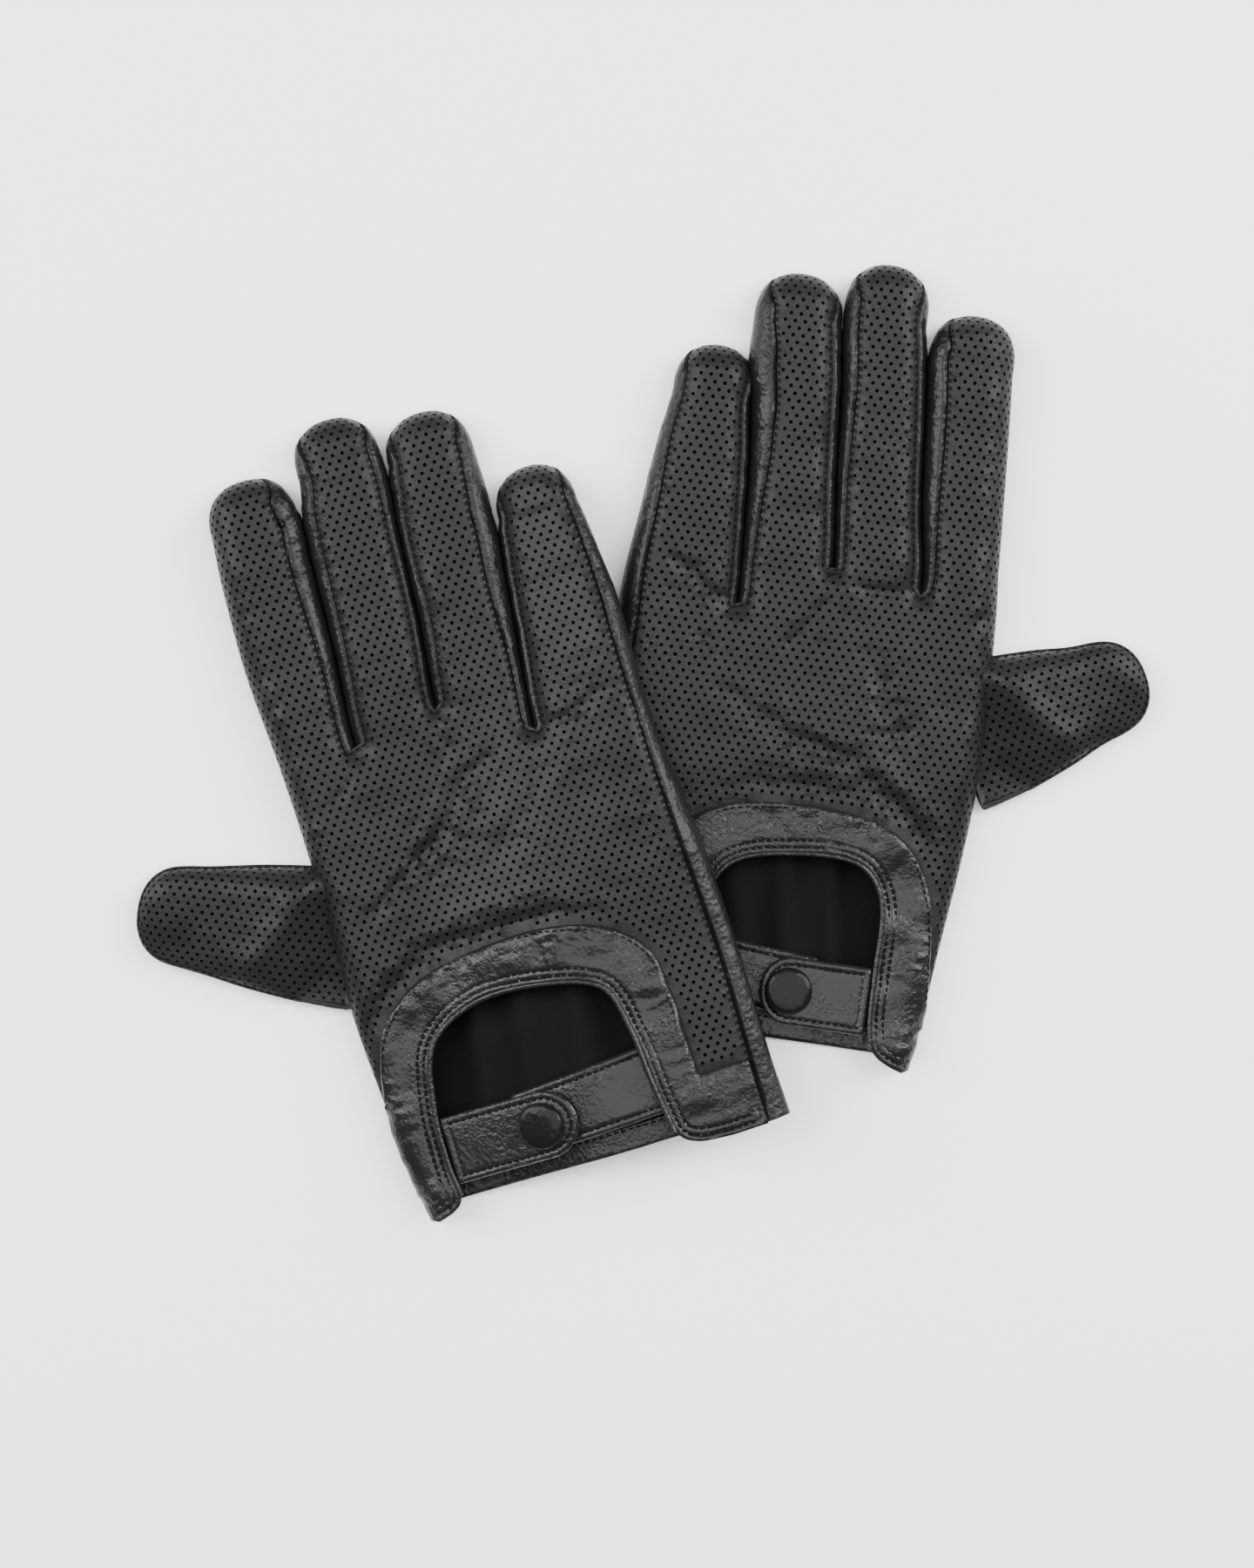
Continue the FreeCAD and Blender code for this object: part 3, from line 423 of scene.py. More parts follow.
class Skin(Surface):
    """Leather over a bag that is widest at its outline: flat pattern in, laid shape out."""

    probe = 0.25

    def __init__(self, outline, roll, thickness, ground):
        self.outline = outline
        self.out = left_normals(outline)
        along = np.diff(outline, axis=0)
        along /= np.linalg.norm(along, axis=1)[:, None]
        self.facing = np.column_stack([-along[:, 1], along[:, 0]])
        self.corner = np.vstack([self.facing[:1], self.facing[:-1] + self.facing[1:], self.facing[-1:]])
        self.roll = roll
        self.thickness = thickness
        self.ground = ground
        angle = np.linspace(0, math.pi / 2, 60)
        pace = np.sqrt((roll * np.cos(angle)) ** 2 + (ROLL_DROP * np.sin(angle)) ** 2)
        arc = np.concatenate([[0.0], np.cumsum((pace[1:] + pace[:-1]) / 2 * np.diff(angle))])
        self.angle, self.arc = angle, arc
        self.spare = arc[-1] - roll      # flat leather that reaches past the outline
        self.tree = kdtree.KDTree(len(outline))
        for i, (x, y) in enumerate(outline):
            self.tree.insert((x, y, 0.0), i)
        self.tree.balance()

    def part(self, keep):
        """The same skin, measured from a stretch of its outline only."""
        some = Skin(self.outline[keep], self.roll, self.thickness, self.ground)
        some.out = self.out[keep]
        return some

    def nearest(self, flat):
        """For each flat point: the outline's nearest, the direction out from it and the signed distance."""
        index = np.array([self.tree.find((x, y, 0.0))[1] for x, y in flat])
        line = self.outline
        best = np.full(len(flat), 1e9)
        base = np.zeros_like(flat)
        facing = self.corner[index]
        for step in (-1, 0):
            i = np.clip(index + step, 0, len(line) - 2)
            a, b = line[i], line[i + 1]
            t = np.clip(((flat - a) * (b - a)).sum(1) / ((b - a) ** 2).sum(1), 0, 1)
            close = a + t[:, None] * (b - a)
            away = np.linalg.norm(flat - close, axis=1)
            nearer = away < best
            best[nearer], base[nearer] = away[nearer], close[nearer]
            flank = nearer & (t > 0) & (t < 1)
            facing[flank] = self.facing[i[flank]]
        out = self.out[index]
        away = flat - base
        side = np.where((away * facing).sum(1) < 0, -1.0, 1.0)
        clear = best > 0.02
        out = np.where(clear[:, None], away * side[:, None] / np.maximum(best, 1e-9)[:, None], out)
        return base, out, side * best

    def drape(self, flat, base, out, edge):
        """Laid points: level in the middle, and rolled down round the edge by their distance out."""
        run = np.clip(edge + self.roll, 0.0, self.arc[-1])
        turn = np.interp(run, self.arc, self.angle)
        rolled = base + out * (self.roll * (np.sin(turn) - 1.0))[:, None]
        plan = np.where((edge < -self.roll)[:, None], flat, rolled)
        height = self.thickness(plan)
        z = self.ground(plan[:, 0], plan[:, 1]) + WAIST + (height - WAIST) * np.cos(turn)
        return np.column_stack([plan, z])

    def lay(self, flat):
        return self.drape(flat, *self.nearest(flat))

    def strip(self, keep, edges):
        """Grid of laid points along a stretch of the outline; edges is (places, rows) of distances out."""
        rows = edges.shape[1]
        base = np.repeat(self.outline[keep], rows, axis=0)
        out = np.repeat(self.out[keep], rows, axis=0)
        edge = edges.reshape(-1)
        points = self.drape(base + out * edge[:, None], base, out, edge)
        return points.reshape(-1, rows, 3)


class Deck(Surface):
    """A sheet at a height over its flat pattern, for straps and cloth."""

    probe = 0.3

    def __init__(self, height):
        self.height = height

    def lay(self, flat):
        return np.column_stack([flat, self.height(flat)])


def finger_sides(finger, y):
    """X of a finger's middle line and its half width."""
    line = finger["line"]
    centre = hermite([(p[0], p[1]) for p in line], y)
    half = hermite([(p[0], p[2]) for p in line], y)
    return centre, half


def rounded_end():
    """Round the end of a finger: distances past its shoulder, and shares of its half width, from 1 to -1."""
    angle = np.linspace(math.pi / 2, -math.pi / 2, 41)
    cosine, sine = np.cos(angle).clip(0), np.sin(angle)
    return TIP_LENGTH * cosine ** (2 / TIP_POWER), np.sign(sine) * np.abs(sine) ** (2 / TIP_POWER)


def touching(glove, i, y, side):
    """X of a side of finger i, drawn to its neighbour's wherever the two fingers lie against each other."""
    fingers = list(glove["fingers"].values())
    centre, half = finger_sides(fingers[i], y)
    own = centre + side * half
    other = i + side
    if not 0 <= other <= 3:
        return own
    centre, half = finger_sides(fingers[other], y)
    between = (own + centre - side * half) / 2
    top = min(fingers[i]["tip"], fingers[other]["tip"]) - TIP_LENGTH
    close = 1 - ease(y, top - 4, top + 7)
    crotch = glove["crotches"][min(i, other)]
    gap = 0.12 + 0.12 * (1 - ease(y, crotch + 2, crotch + 10))
    return own * (1 - close) + (between - side * gap) * close


def glove_outline(glove):
    """Outline of the hand and fingers from the cuff on the thumb side round to the cuff on the other side."""
    y = np.arange(-1.5, 146, 4.0)
    points = [np.column_stack([hermite(glove["thumb_side"], y), y])]
    names = list(glove["fingers"])
    for i, name in enumerate(names):
        finger = glove["fingers"][name]
        start = 150.0 if i == 0 else glove["crotches"][i - 1] + 2.5
        stop = 131.0 if i == 3 else glove["crotches"][i] + 2.5
        shoulder = finger["tip"] - TIP_LENGTH
        rise = np.arange(start, shoulder, 1.0)
        points.append(np.column_stack([touching(glove, i, rise, -1), rise]))
        ahead, aside = rounded_end()
        centre, half = finger_sides(finger, shoulder + ahead)
        points.append(np.column_stack([centre - half * aside, shoulder + ahead]))
        fall = np.arange(shoulder, stop, -1.0)
        points.append(np.column_stack([touching(glove, i, fall, 1), fall]))
        if i < 3:
            far_x = sum(finger_sides(finger, np.array([stop])))[0]
            centre, half = finger_sides(glove["fingers"][names[i + 1]], np.array([stop]))
            near_x = (centre - half)[0]
            points.append(np.array([((far_x + near_x) / 2, glove["crotches"][i])]))
    y = np.arange(127, -2.0, -4.0)
    points.append(np.column_stack([hermite(glove["outer_side"], y), y]))
    return smooth_line(np.vstack(points), OUTLINE_STEP, 0.9)


def tips_and_crotches(glove, outline):
    """Index of each fingertip and each crotch on the outline."""
    tips = []
    for finger in glove["fingers"].values():
        centre = finger_sides(finger, np.array([finger["tip"]]))[0][0]
        tips.append(int(np.argmin(np.linalg.norm(outline - (centre, finger["tip"]), axis=1))))
    return tips, [a + int(np.argmin(outline[a:b, 1])) for a, b in zip(tips, tips[1:])]


def back_edge(glove, outline, tips, bounds, spare):
    """Flat distance out from the outline at which the perforated back ends, all the way round."""
    edge = np.full(len(outline), spare)
    for i, (finger, tip) in enumerate(zip(glove["fingers"].values(), tips)):
        for side, span in (("near", range(bounds[i], tip)), ("far", range(tip, bounds[i + 1]))):
            span = np.array(span)
            if i == 0 and side == "near":
                continue
            inset = hermite(finger[side], outline[span, 1])
            if i == 3 and side == "far":
                low = outline[span, 1] < 131
                inset[low] = hermite(glove["outseam"], outline[span[low], 1])
            away = np.abs(span - tip) * OUTLINE_STEP
            end = finger["end"][0 if side == "near" else 1]
            share = ease(away, end, end + 13.0)
            edge[span] = spare * (1 - share) - inset * share
    width = 2 * EDGE_SOFT + 1
    return np.convolve(np.pad(edge, EDGE_SOFT, "edge"), np.ones(width) / width, "valid")


# ---- meshes ----
def triangulate(loops, loose):
    """Triangles of a plane region: its outer loop first, then its holes; loose points are used inside."""
    points, edges, owner = [], [], []
    for k, loop in enumerate(loops):
        first = len(points)
        points.extend(Vector(p) for p in loop)
        edges.extend((first + i, first + (i + 1) % len(loop)) for i in range(len(loop)))
        owner += [k] * len(loop)
    points.extend(Vector(p) for p in loose)
    owner += [0] * len(loose)
    found = delaunay_2d_cdt(points, edges, [], 1, 1e-6)
    owners = [owner[came[0]] if came else 0 for came in found[3]]
    triangles = [f for f in found[2] if len(f) == 3 and not 0 < owners[f[0]] == owners[f[1]] == owners[f[2]]]
    return np.array([tuple(v) for v in found[0]]), np.array(triangles)


def grid_inside(polygon, spacing, margin):
    """Staggered points inside a polygon, clear of its edge."""
    low, high = polygon.min(0), polygon.max(0)
    rows = np.arange(low[1], high[1], spacing * 0.866)
    grid = np.array([(x, y) for k, y in enumerate(rows)
                     for x in np.arange(low[0] + (k % 2) * spacing / 2, high[0], spacing)])
    grid = grid[inside_polygon(grid, polygon)]
    away = distance_to_line(grid, np.vstack([polygon, polygon[:1]]))[0]
    return grid[away > margin]


def weld(points, faces):
    """The same mesh with points that coincide made one, and collapsed faces dropped."""
    key = np.round(points / 0.002).astype(np.int64)
    _, first, index = np.unique(key, axis=0, return_index=True, return_inverse=True)
    index = index.reshape(-1)
    kept = []
    for face in faces:
        ring = []
        for v in (int(index[v]) for v in face):
            if not ring or ring[-1] != v:
                ring.append(v)
        if len(ring) > 1 and ring[0] == ring[-1]:
            ring.pop()
        if len(ring) > 2:
            kept.append(tuple(ring))
    return points[first], kept


def vertex_normals(points, faces):
    """Unit normals at the points, weighted by the area of the faces round them."""
    normals = np.zeros_like(points)
    for size in {len(face) for face in faces}:
        some = np.array([face for face in faces if len(face) == size])
        corner = points[some]
        across = np.cross(corner[:, 1] - corner[:, 0], corner[:, -1] - corner[:, 0])
        for k in range(size):
            np.add.at(normals, some[:, k], across)
    length = np.linalg.norm(normals, axis=1)
    return normals / np.maximum(length, 1e-9)[:, None]


def thicken(points, faces, thick):
    """Closed piece of leather under an outer surface."""
    points, faces = weld(points, faces)
    under = points - vertex_normals(points, faces) * thick
    count = len(points)
    directed = {(face[k - 1], face[k]) for face in faces for k in range(len(face))}
    closed = list(faces) + [tuple(v + count for v in face[::-1]) for face in faces]
    closed += [(i, i + count, j + count, j) for i, j in directed if (j, i) not in directed]
    return np.vstack([points, under]), closed


def facing_up(flat, triangles):
    """Triangles as faces that are all wound anticlockwise."""
    a, b, c = triangles.T
    ab, ac = flat[b] - flat[a], flat[c] - flat[a]
    turned = ab[:, 0] * ac[:, 1] - ab[:, 1] * ac[:, 0] < 0
    return [tuple(t) for t in np.where(turned[:, None], triangles[:, ::-1], triangles).tolist()]


def grid_faces(rows, columns, closed=False, start=0):
    """Quads of a grid of points, row by row; closed joins the last column to the first."""
    faces = []
    for i in range(rows - 1):
        for j in range(columns if closed else columns - 1):
            k = (j + 1) % columns
            a, b = start + i * columns + j, start + i * columns + k
            faces.append((a, b, b + columns, a + columns))
    return faces


def merge(parts):
    """One shape from several (points, faces)."""
    points, faces, start = [], [], 0
    for some, quads in parts:
        points.append(some)
        faces += [tuple(v + start for v in face) for face in quads]
        start += len(some)
    return np.vstack(points), faces


def tube(line, radius, sides=8, ends=True):
    """Round tube along a 3-D polyline."""
    line = np.asarray(line, float)
    radius = np.broadcast_to(radius, len(line))
    along = np.gradient(line, axis=0)
    along /= np.linalg.norm(along, axis=1)[:, None]
    side = np.cross(along, (0.0, 0.0, 1.0))
    side /= np.maximum(np.linalg.norm(side, axis=1), 1e-9)[:, None]
    up = np.cross(side, along)
    angle = np.arange(sides) * 2 * math.pi / sides
    ring = np.cos(angle)[None, :, None] * side[:, None] + np.sin(angle)[None, :, None] * up[:, None]
    points = (line[:, None] + ring * radius[:, None, None]).reshape(-1, 3)
    faces = grid_faces(len(line), sides, closed=True)
    if ends:
        faces.append(tuple(range(sides)))
        faces.append(tuple(range(len(points) - 1, len(points) - 1 - sides, -1)))
    return points, faces


def stitches(line, normal, pitch=STITCH, thread=THREAD, share=0.68, rise=0.12):
    """Separate stitches along a 3-D line: each dips into the leather at its two ends."""
    length = np.concatenate([[0.0], np.cumsum(np.linalg.norm(np.diff(line, axis=0), axis=1))])
    parts = []
    profile = np.array([-1.0, -0.72, -0.25, 0.25, 0.72, 1.0])
    for middle in np.arange(pitch / 2, length[-1] - pitch / 2, pitch):
        at = middle + profile * pitch * share / 2
        centre = np.column_stack([np.interp(at, length, line[:, k]) for k in range(3)])
        up = np.array([np.interp(middle, length, normal[:, k]) for k in range(3)])
        sink = rise - 0.42 * np.abs(profile) ** 3
        centre = centre + up * sink[:, None]
        parts.append(tube(centre, thread * np.array([0.45, 0.95, 1.0, 1.0, 0.95, 0.45]), 6))
    return merge(parts)


def to_world(glove, points):
    """Glove millimetres to the row's metres."""
    angle = math.radians(glove["turn"])
    x, y = points[:, 0] * glove["mirror"], points[:, 1]
    place = glove["place"]
    return MM * np.column_stack([
        x * math.cos(angle) - y * math.sin(angle) + place[0],
        x * math.sin(angle) + y * math.cos(angle) + place[1],
        points[:, 2],
    ])


def add_piece(glove, name, shape, material, slot, sharp=50):
    """A mesh piece of one glove, named with its side."""
    points, faces = shape
    world = to_world(glove, points)
    if glove["mirror"] < 0:
        faces = [face[::-1] for face in faces]
    mesh = bpy.data.meshes.new(f"{glove['name']}_{name}")
    mesh.from_pydata(world.tolist(), [], faces)
    mesh.validate()
    mesh.shade_smooth()
    mesh.set_sharp_from_angle(angle=math.radians(sharp))
    mesh.materials.append(material)
    piece = bpy.data.objects.new(f"{glove['name']}_{name}", mesh)
    bpy.context.scene.collection.objects.link(piece)
    return piece


def octagons(centres):
    """Outlines of the perforations."""
    angle = (np.arange(HOLE_SIDES) + 0.5) * 2 * math.pi / HOLE_SIDES
    ring = HOLE_RADIUS * np.column_stack([np.cos(angle), np.sin(angle)])
    return [centre + ring for centre in centres]


def lattice(polygon, seam, start):
    """Centres of the perforations inside a flat region, clear of its seam line; rows count from start."""
    low, high = polygon.min(0), polygon.max(0)
    first, last = (int(math.floor((y - start) / HOLE_ROW)) for y in (low[1], high[1]))
    grid = np.array([(x, start + k * HOLE_ROW) for k in range(first, last + 2)
                     for x in np.arange(-80 + (k % 2) * HOLE_COLUMN / 2, high[0], HOLE_COLUMN)])
    grid = grid[inside_polygon(grid, polygon)]
    return grid[distance_to_line(grid, seam)[0] > HOLE_MARGIN]


def between_cuts(rim, bounds):
    """The back's rim as the hand and four fingers, which meet on the line CUT_Y.

    Returns the hand's stretches up to the last cut, the rim's place after it, and a loop for each finger."""
    hand, fingers, start = [], [], 0
    for a, b in zip(bounds, bounds[1:]):
        above = np.nonzero(rim[a:b, 1] > CUT_Y)[0] + a
        up, down = int(above[0]), int(above[-1])
        pairs = rim[[up - 1, up]], rim[[down + 1, down]]
        cut = resample([(np.interp(CUT_Y, pair[:, 1], pair[:, 0]), CUT_Y) for pair in pairs], 1.2)
        fingers.append(np.vstack([rim[up:down + 1], cut[::-1]]))
        hand += [rim[start:up], cut]
        start = down + 1
    return hand, start, fingers


def perforated(regions, seam):
    """Perforated leather over flat regions that meet along straight lines, turned down where it is sewn.

    Each region has its own skin and holes."""
    parts = []
    for skin, polygon, centres in regions:
        polygon = weld_loop(polygon)
        flat, triangles = triangulate([polygon] + octagons(centres), [])
        laid = skin.lay(flat)
        laid[distance_to_line(flat, seam)[0] < 0.05, 2] -= SEAM_TURN
        parts.append((laid, facing_up(flat, triangles)))
    return thicken(*merge(parts), LEATHER)


def weld_loop(polygon):
    """A closed loop, clockwise, without repeated points."""
    step = np.linalg.norm(polygon - np.roll(polygon, 1, axis=0), axis=1)
    loop = polygon[step > 0.02]
    return loop if area_of(loop) < 0 else loop[::-1]


def area_of(loop):
    """Area inside a loop, negative if it runs clockwise."""
    x, y = loop.T
    return float((x * np.roll(y, -1) - y * np.roll(x, -1)).sum() / 2)


def plain(skin, polygon, spacing, low, high, edge_width, thick, grooves=(), ripple=None):
    """Plain leather over a flat region, its edges rounded down and its stitch rows sunk."""
    polygon = weld_loop(polygon)
    loose = grid_inside(polygon, spacing, spacing * 0.55)
    closed = np.vstack([polygon, polygon[:1]])
    rows = [0.35 * edge_width, 0.8 * edge_width]
    rows += [groove + step for groove, _ in grooves for step in (-0.45, 0.0, 0.45)]
    rings = []
    for away in rows:
        ring = resample(closed - left_normals(closed) * away, 0.8)
        keep = inside_polygon(ring, polygon) & (distance_to_line(ring, closed)[0] > 0.95 * away)
        rings.append(ring[keep])
    flat, triangles = triangulate([polygon], np.vstack([loose] + rings))
    away = distance_to_line(flat, closed)[0]
    share = np.clip(away / edge_width, 0, 1)
    raised = low + (high - low) * np.sqrt(1 - (1 - share) ** 2)
    for groove, where in grooves:
        near = np.exp(-(((away - groove) / 0.42) ** 2))
        raised = raised - 0.34 * near * (1.0 if where is None else inside_polygon(flat, where))
    if ripple is not None:
        raised = raised + ripple(flat) * share
    place, normal = skin.stand(flat)
    return thicken(place + normal * raised[:, None], facing_up(flat, triangles), thick)


def band(skin, keep, edges, bulge, seed, wrinkle):
    """Strip of leather between two distances from the outline: sunk at its seam, full in the middle."""
    grid = skin.strip(keep, edges)
    rows, columns = grid.shape[:2]
    points = grid.reshape(-1, 3)
    faces = [face[::-1] for face in grid_faces(rows, columns)]
    normal = vertex_normals(points, faces)
    share = across(columns)
    length, width = np.arange(rows) * OUTLINE_STEP, edges[:, -1] - edges[:, 0]
    from_seam = share[None, :] * width[:, None]
    fullness = np.clip(width / 8.0, 0.25, 1.0)[:, None]
    full = bulge * np.sin(np.pi * share)[None, :] ** 0.8 * fullness - 1.5 * (1 - ease(from_seam, 0.4, 1.5))
    flat = np.column_stack([np.repeat(length, columns), from_seam.reshape(-1)])
    rough = relief(flat, [(0.22, (wrinkle, 7), seed), (0.10, (wrinkle * 0.45, 5), seed + 1)])
    patch = 0.5 + 0.5 * value_noise(flat, (24, 40), seed + 2)
    raised = full + (rough * (0.35 + 0.65 * patch)).reshape(rows, columns) * np.sin(np.pi * share)[None, :]
    return thicken(points + normal * raised.reshape(-1)[:, None], faces, 0.8)


def across(count):
    """Shares of the way across a strip, closer together beside its seam."""
    return np.linspace(0, 1, count) ** 1.5


def spread(start, end, count):
    """Distances from start (one for each place) to end, as (places, count)."""
    share = across(count)
    return start[:, None] + (end - start[:, None]) * share[None, :]


def seam_line(skin, keep, edge):
    """Points and normals of a line at a flat distance out from a stretch of the outline."""
    grid = skin.strip(keep, edge[:, None] + np.array([-0.3, 0.0, 0.3]))
    normal = np.cross(np.gradient(grid[:, 1], axis=0), grid[:, 0] - grid[:, 2])
    return grid[:, 1], normal / np.maximum(np.linalg.norm(normal, axis=1), 1e-9)[:, None]


def sewn(skin, flat, rise, pitch=STITCH, thread=THREAD, share=0.68):
    """Stitches on the leather along a flat line."""
    line = resample(flat, 0.5)
    place, normal = skin.stand(line)
    return stitches(place + normal * rise, normal, pitch, thread, share)


def under_leather(skin, flat):
    """Points of the lining under the leather."""
    place, normal = skin.stand(flat)
    return place - normal * UNDER_LEATHER


def welt(skin, flat, rise, radius):
    """Rounded seam edge along a flat line."""
    line = resample(flat, 0.8)
    place, normal = skin.stand(line)
    return tube(place + normal * rise, radius, 8)


def underside(skin, keep):
    """Palm leather: flat on what it lies on and curled up to the side seam along a stretch of the outline."""
    base, out = skin.outline[keep], skin.out[keep]
    angle = np.linspace(0, math.pi / 2, 7)
    rows = []
    for turn in angle:
        plan = base + out * (PALM_ROLL * (math.sin(turn) - 1))
        z = skin.ground(plan[:, 0], plan[:, 1]) + WAIST * (1 - math.cos(turn))
        rows.append(np.column_stack([plan, z]))
    curl = np.array(rows)
    faces = [face[::-1] for face in grid_faces(len(angle), len(keep))]
    loop = weld_loop(curl[0][:, :2])
    flat, triangles = triangulate([loop], grid_inside(loop, 5.0, 2.5))
    middle = np.column_stack([flat, skin.ground(flat[:, 0], flat[:, 1])])
    down = [face[::-1] for face in facing_up(flat, triangles)]
    return thicken(*merge([(curl.reshape(-1, 3), faces), (middle, down)]), LEATHER)


# ---- materials ----
def new_finish(name):
    """A node material, its node tree, its shader and the place on the object as texture coordinates."""
    material = bpy.data.materials.new(name)
    material.use_nodes = True
    tree = material.node_tree
    place = tree.nodes.new("ShaderNodeTexCoord").outputs["Object"]
    return material, tree, tree.nodes["Principled BSDF"], place


def connect(tree, node, inputs):
    """Sets a node's inputs: a value is stored on the socket, another node's output is linked to it."""
    for socket, value in inputs.items():
        if isinstance(value, bpy.types.NodeSocket):
            tree.links.new(value, node.inputs[socket])
        else:
            node.inputs[socket].default_value = value


def add_node(tree, kind, inputs):
    """A new shader node with its inputs connected."""
    node = tree.nodes.new(f"ShaderNode{kind}")
    connect(tree, node, inputs)
    return node


def two_tones(tree, share, base, spread, blue):
    """A colour that varies by spread about a dark grey, a touch blue."""
    mix = tree.nodes.new("ShaderNodeMix")
    mix.data_type = "RGBA"
    dark, light = ((base * tone, base * tone, base * (tone + blue), 1) for tone in (1 - spread, 1 + spread))
    connect(tree, mix, {"Factor": share, "A": dark, "B": light})
    return mix.outputs["Result"]


def leather(name, base, roughness, grain, pebble, shine, grain_size, worn=0.0):
    """Dyed leather: a fine grain, small pebbles and patches of crackle, which worn makes larger."""
    material, tree, shader, place = new_finish(name)
    fine = add_node(tree, "TexNoise", {"Vector": place, "Scale": grain_size, "Detail": 4.0}).outputs["Fac"]
    cells = add_node(tree, "TexVoronoi", {"Vector": place, "Scale": grain_size * 0.9}).outputs["Distance"]
    cloud = add_node(tree, "TexNoise", {"Vector": place, "Scale": CLOUD_SCALE, "Detail": 2.0}).outputs["Fac"]
    crackle = add_node(tree, "TexNoise", {"Vector": place, "Scale": CRACKLE_SCALE, "Detail": 3.0,
                                          "Distortion": 1.4})
    polish = add_node(tree, "MapRange", {"Value": fine, "To Min": roughness - POLISH_SPREAD,
                                         "To Max": roughness + POLISH_SPREAD})
    patches = add_node(tree, "MapRange", {"Value": cloud, "From Min": 0.48 - worn, "From Max": 0.66 - worn,
                                          "To Max": 0.9})
    bump = add_node(tree, "Bump", {"Height": fine, "Strength": grain, "Distance": GRAIN_DEPTH})
    bump = add_node(tree, "Bump", {"Height": crackle.outputs["Fac"], "Strength": patches.outputs["Result"],
                                   "Distance": CRACKLE_DEPTH, "Normal": bump.outputs["Normal"]})
    bump = add_node(tree, "Bump", {"Height": cells, "Strength": pebble, "Distance": PEBBLE_DEPTH,
                                   "Normal": bump.outputs["Normal"]})
    connect(tree, shader, {"Base Color": two_tones(tree, cloud, base, 0.2, 0.02), "Specular IOR Level": shine,
                           "Roughness": polish.outputs["Result"], "Normal": bump.outputs["Normal"]})
    return material


def cloth(name, base):
    """Twill lining, and thread."""
    material, tree, shader, place = new_finish(name)
    turned = add_node(tree, "Mapping", {"Vector": place, "Rotation": (0, 0, TWILL_ANGLE)}).outputs["Vector"]
    twill = add_node(tree, "TexWave", {"Vector": turned, "Scale": TWILL_SCALE, "Distortion": 0.6})
    twill = twill.outputs["Fac"]
    bump = add_node(tree, "Bump", {"Height": twill, "Strength": 0.5, "Distance": GRAIN_DEPTH})
    connect(tree, shader, {"Base Color": two_tones(tree, twill, base, 0.3, 0.02), "Roughness": 0.75,
                           "Specular IOR Level": 0.05, "Normal": bump.outputs["Normal"]})
    return material


def metal(name, base, roughness):
    """Lacquered snap metal."""
    material, tree, shader, _ = new_finish(name)
    fine = add_node(tree, "TexNoise", {"Scale": 700.0}).outputs["Fac"]
    connect(tree, shader, {"Base Color": two_tones(tree, fine, base, 0.1, 0.0), "Metallic": 1.0,
                           "Roughness": roughness})
    return material


# each look is a material and the record's slot that it belongs to
LOOKS = {
    "perforated": (leather("perforated_leather_finish", 0.010, 0.40, 0.70, 0.20, 0.095, 1100.0),
                   "perforated_leather"),
    "plain": (leather("plain_leather_finish", 0.008, 0.21, 0.60, 0.45, 0.19, 800.0, 0.14), "smooth_leather"),
    "strip": (leather("strip_leather_finish", 0.0065, 0.30, 0.70, 0.80, 0.13, 700.0, 0.08), "smooth_leather"),
    "palm": (leather("palm_leather_finish", 0.014, 0.50, 0.50, 0.20, 0.16, 800.0), "smooth_leather"),
    "cap": (leather("cap_leather_finish", 0.005, 0.22, 0.60, 0.40, 0.09, 700.0), "cap_leather"),
    "lining": (cloth("lining_finish", 0.003), "lining_cloth"),
    "thread": (cloth("thread_finish", 0.004), "smooth_leather"),
}
SNAP_METAL = metal("snap_finish", 0.45, 0.32)


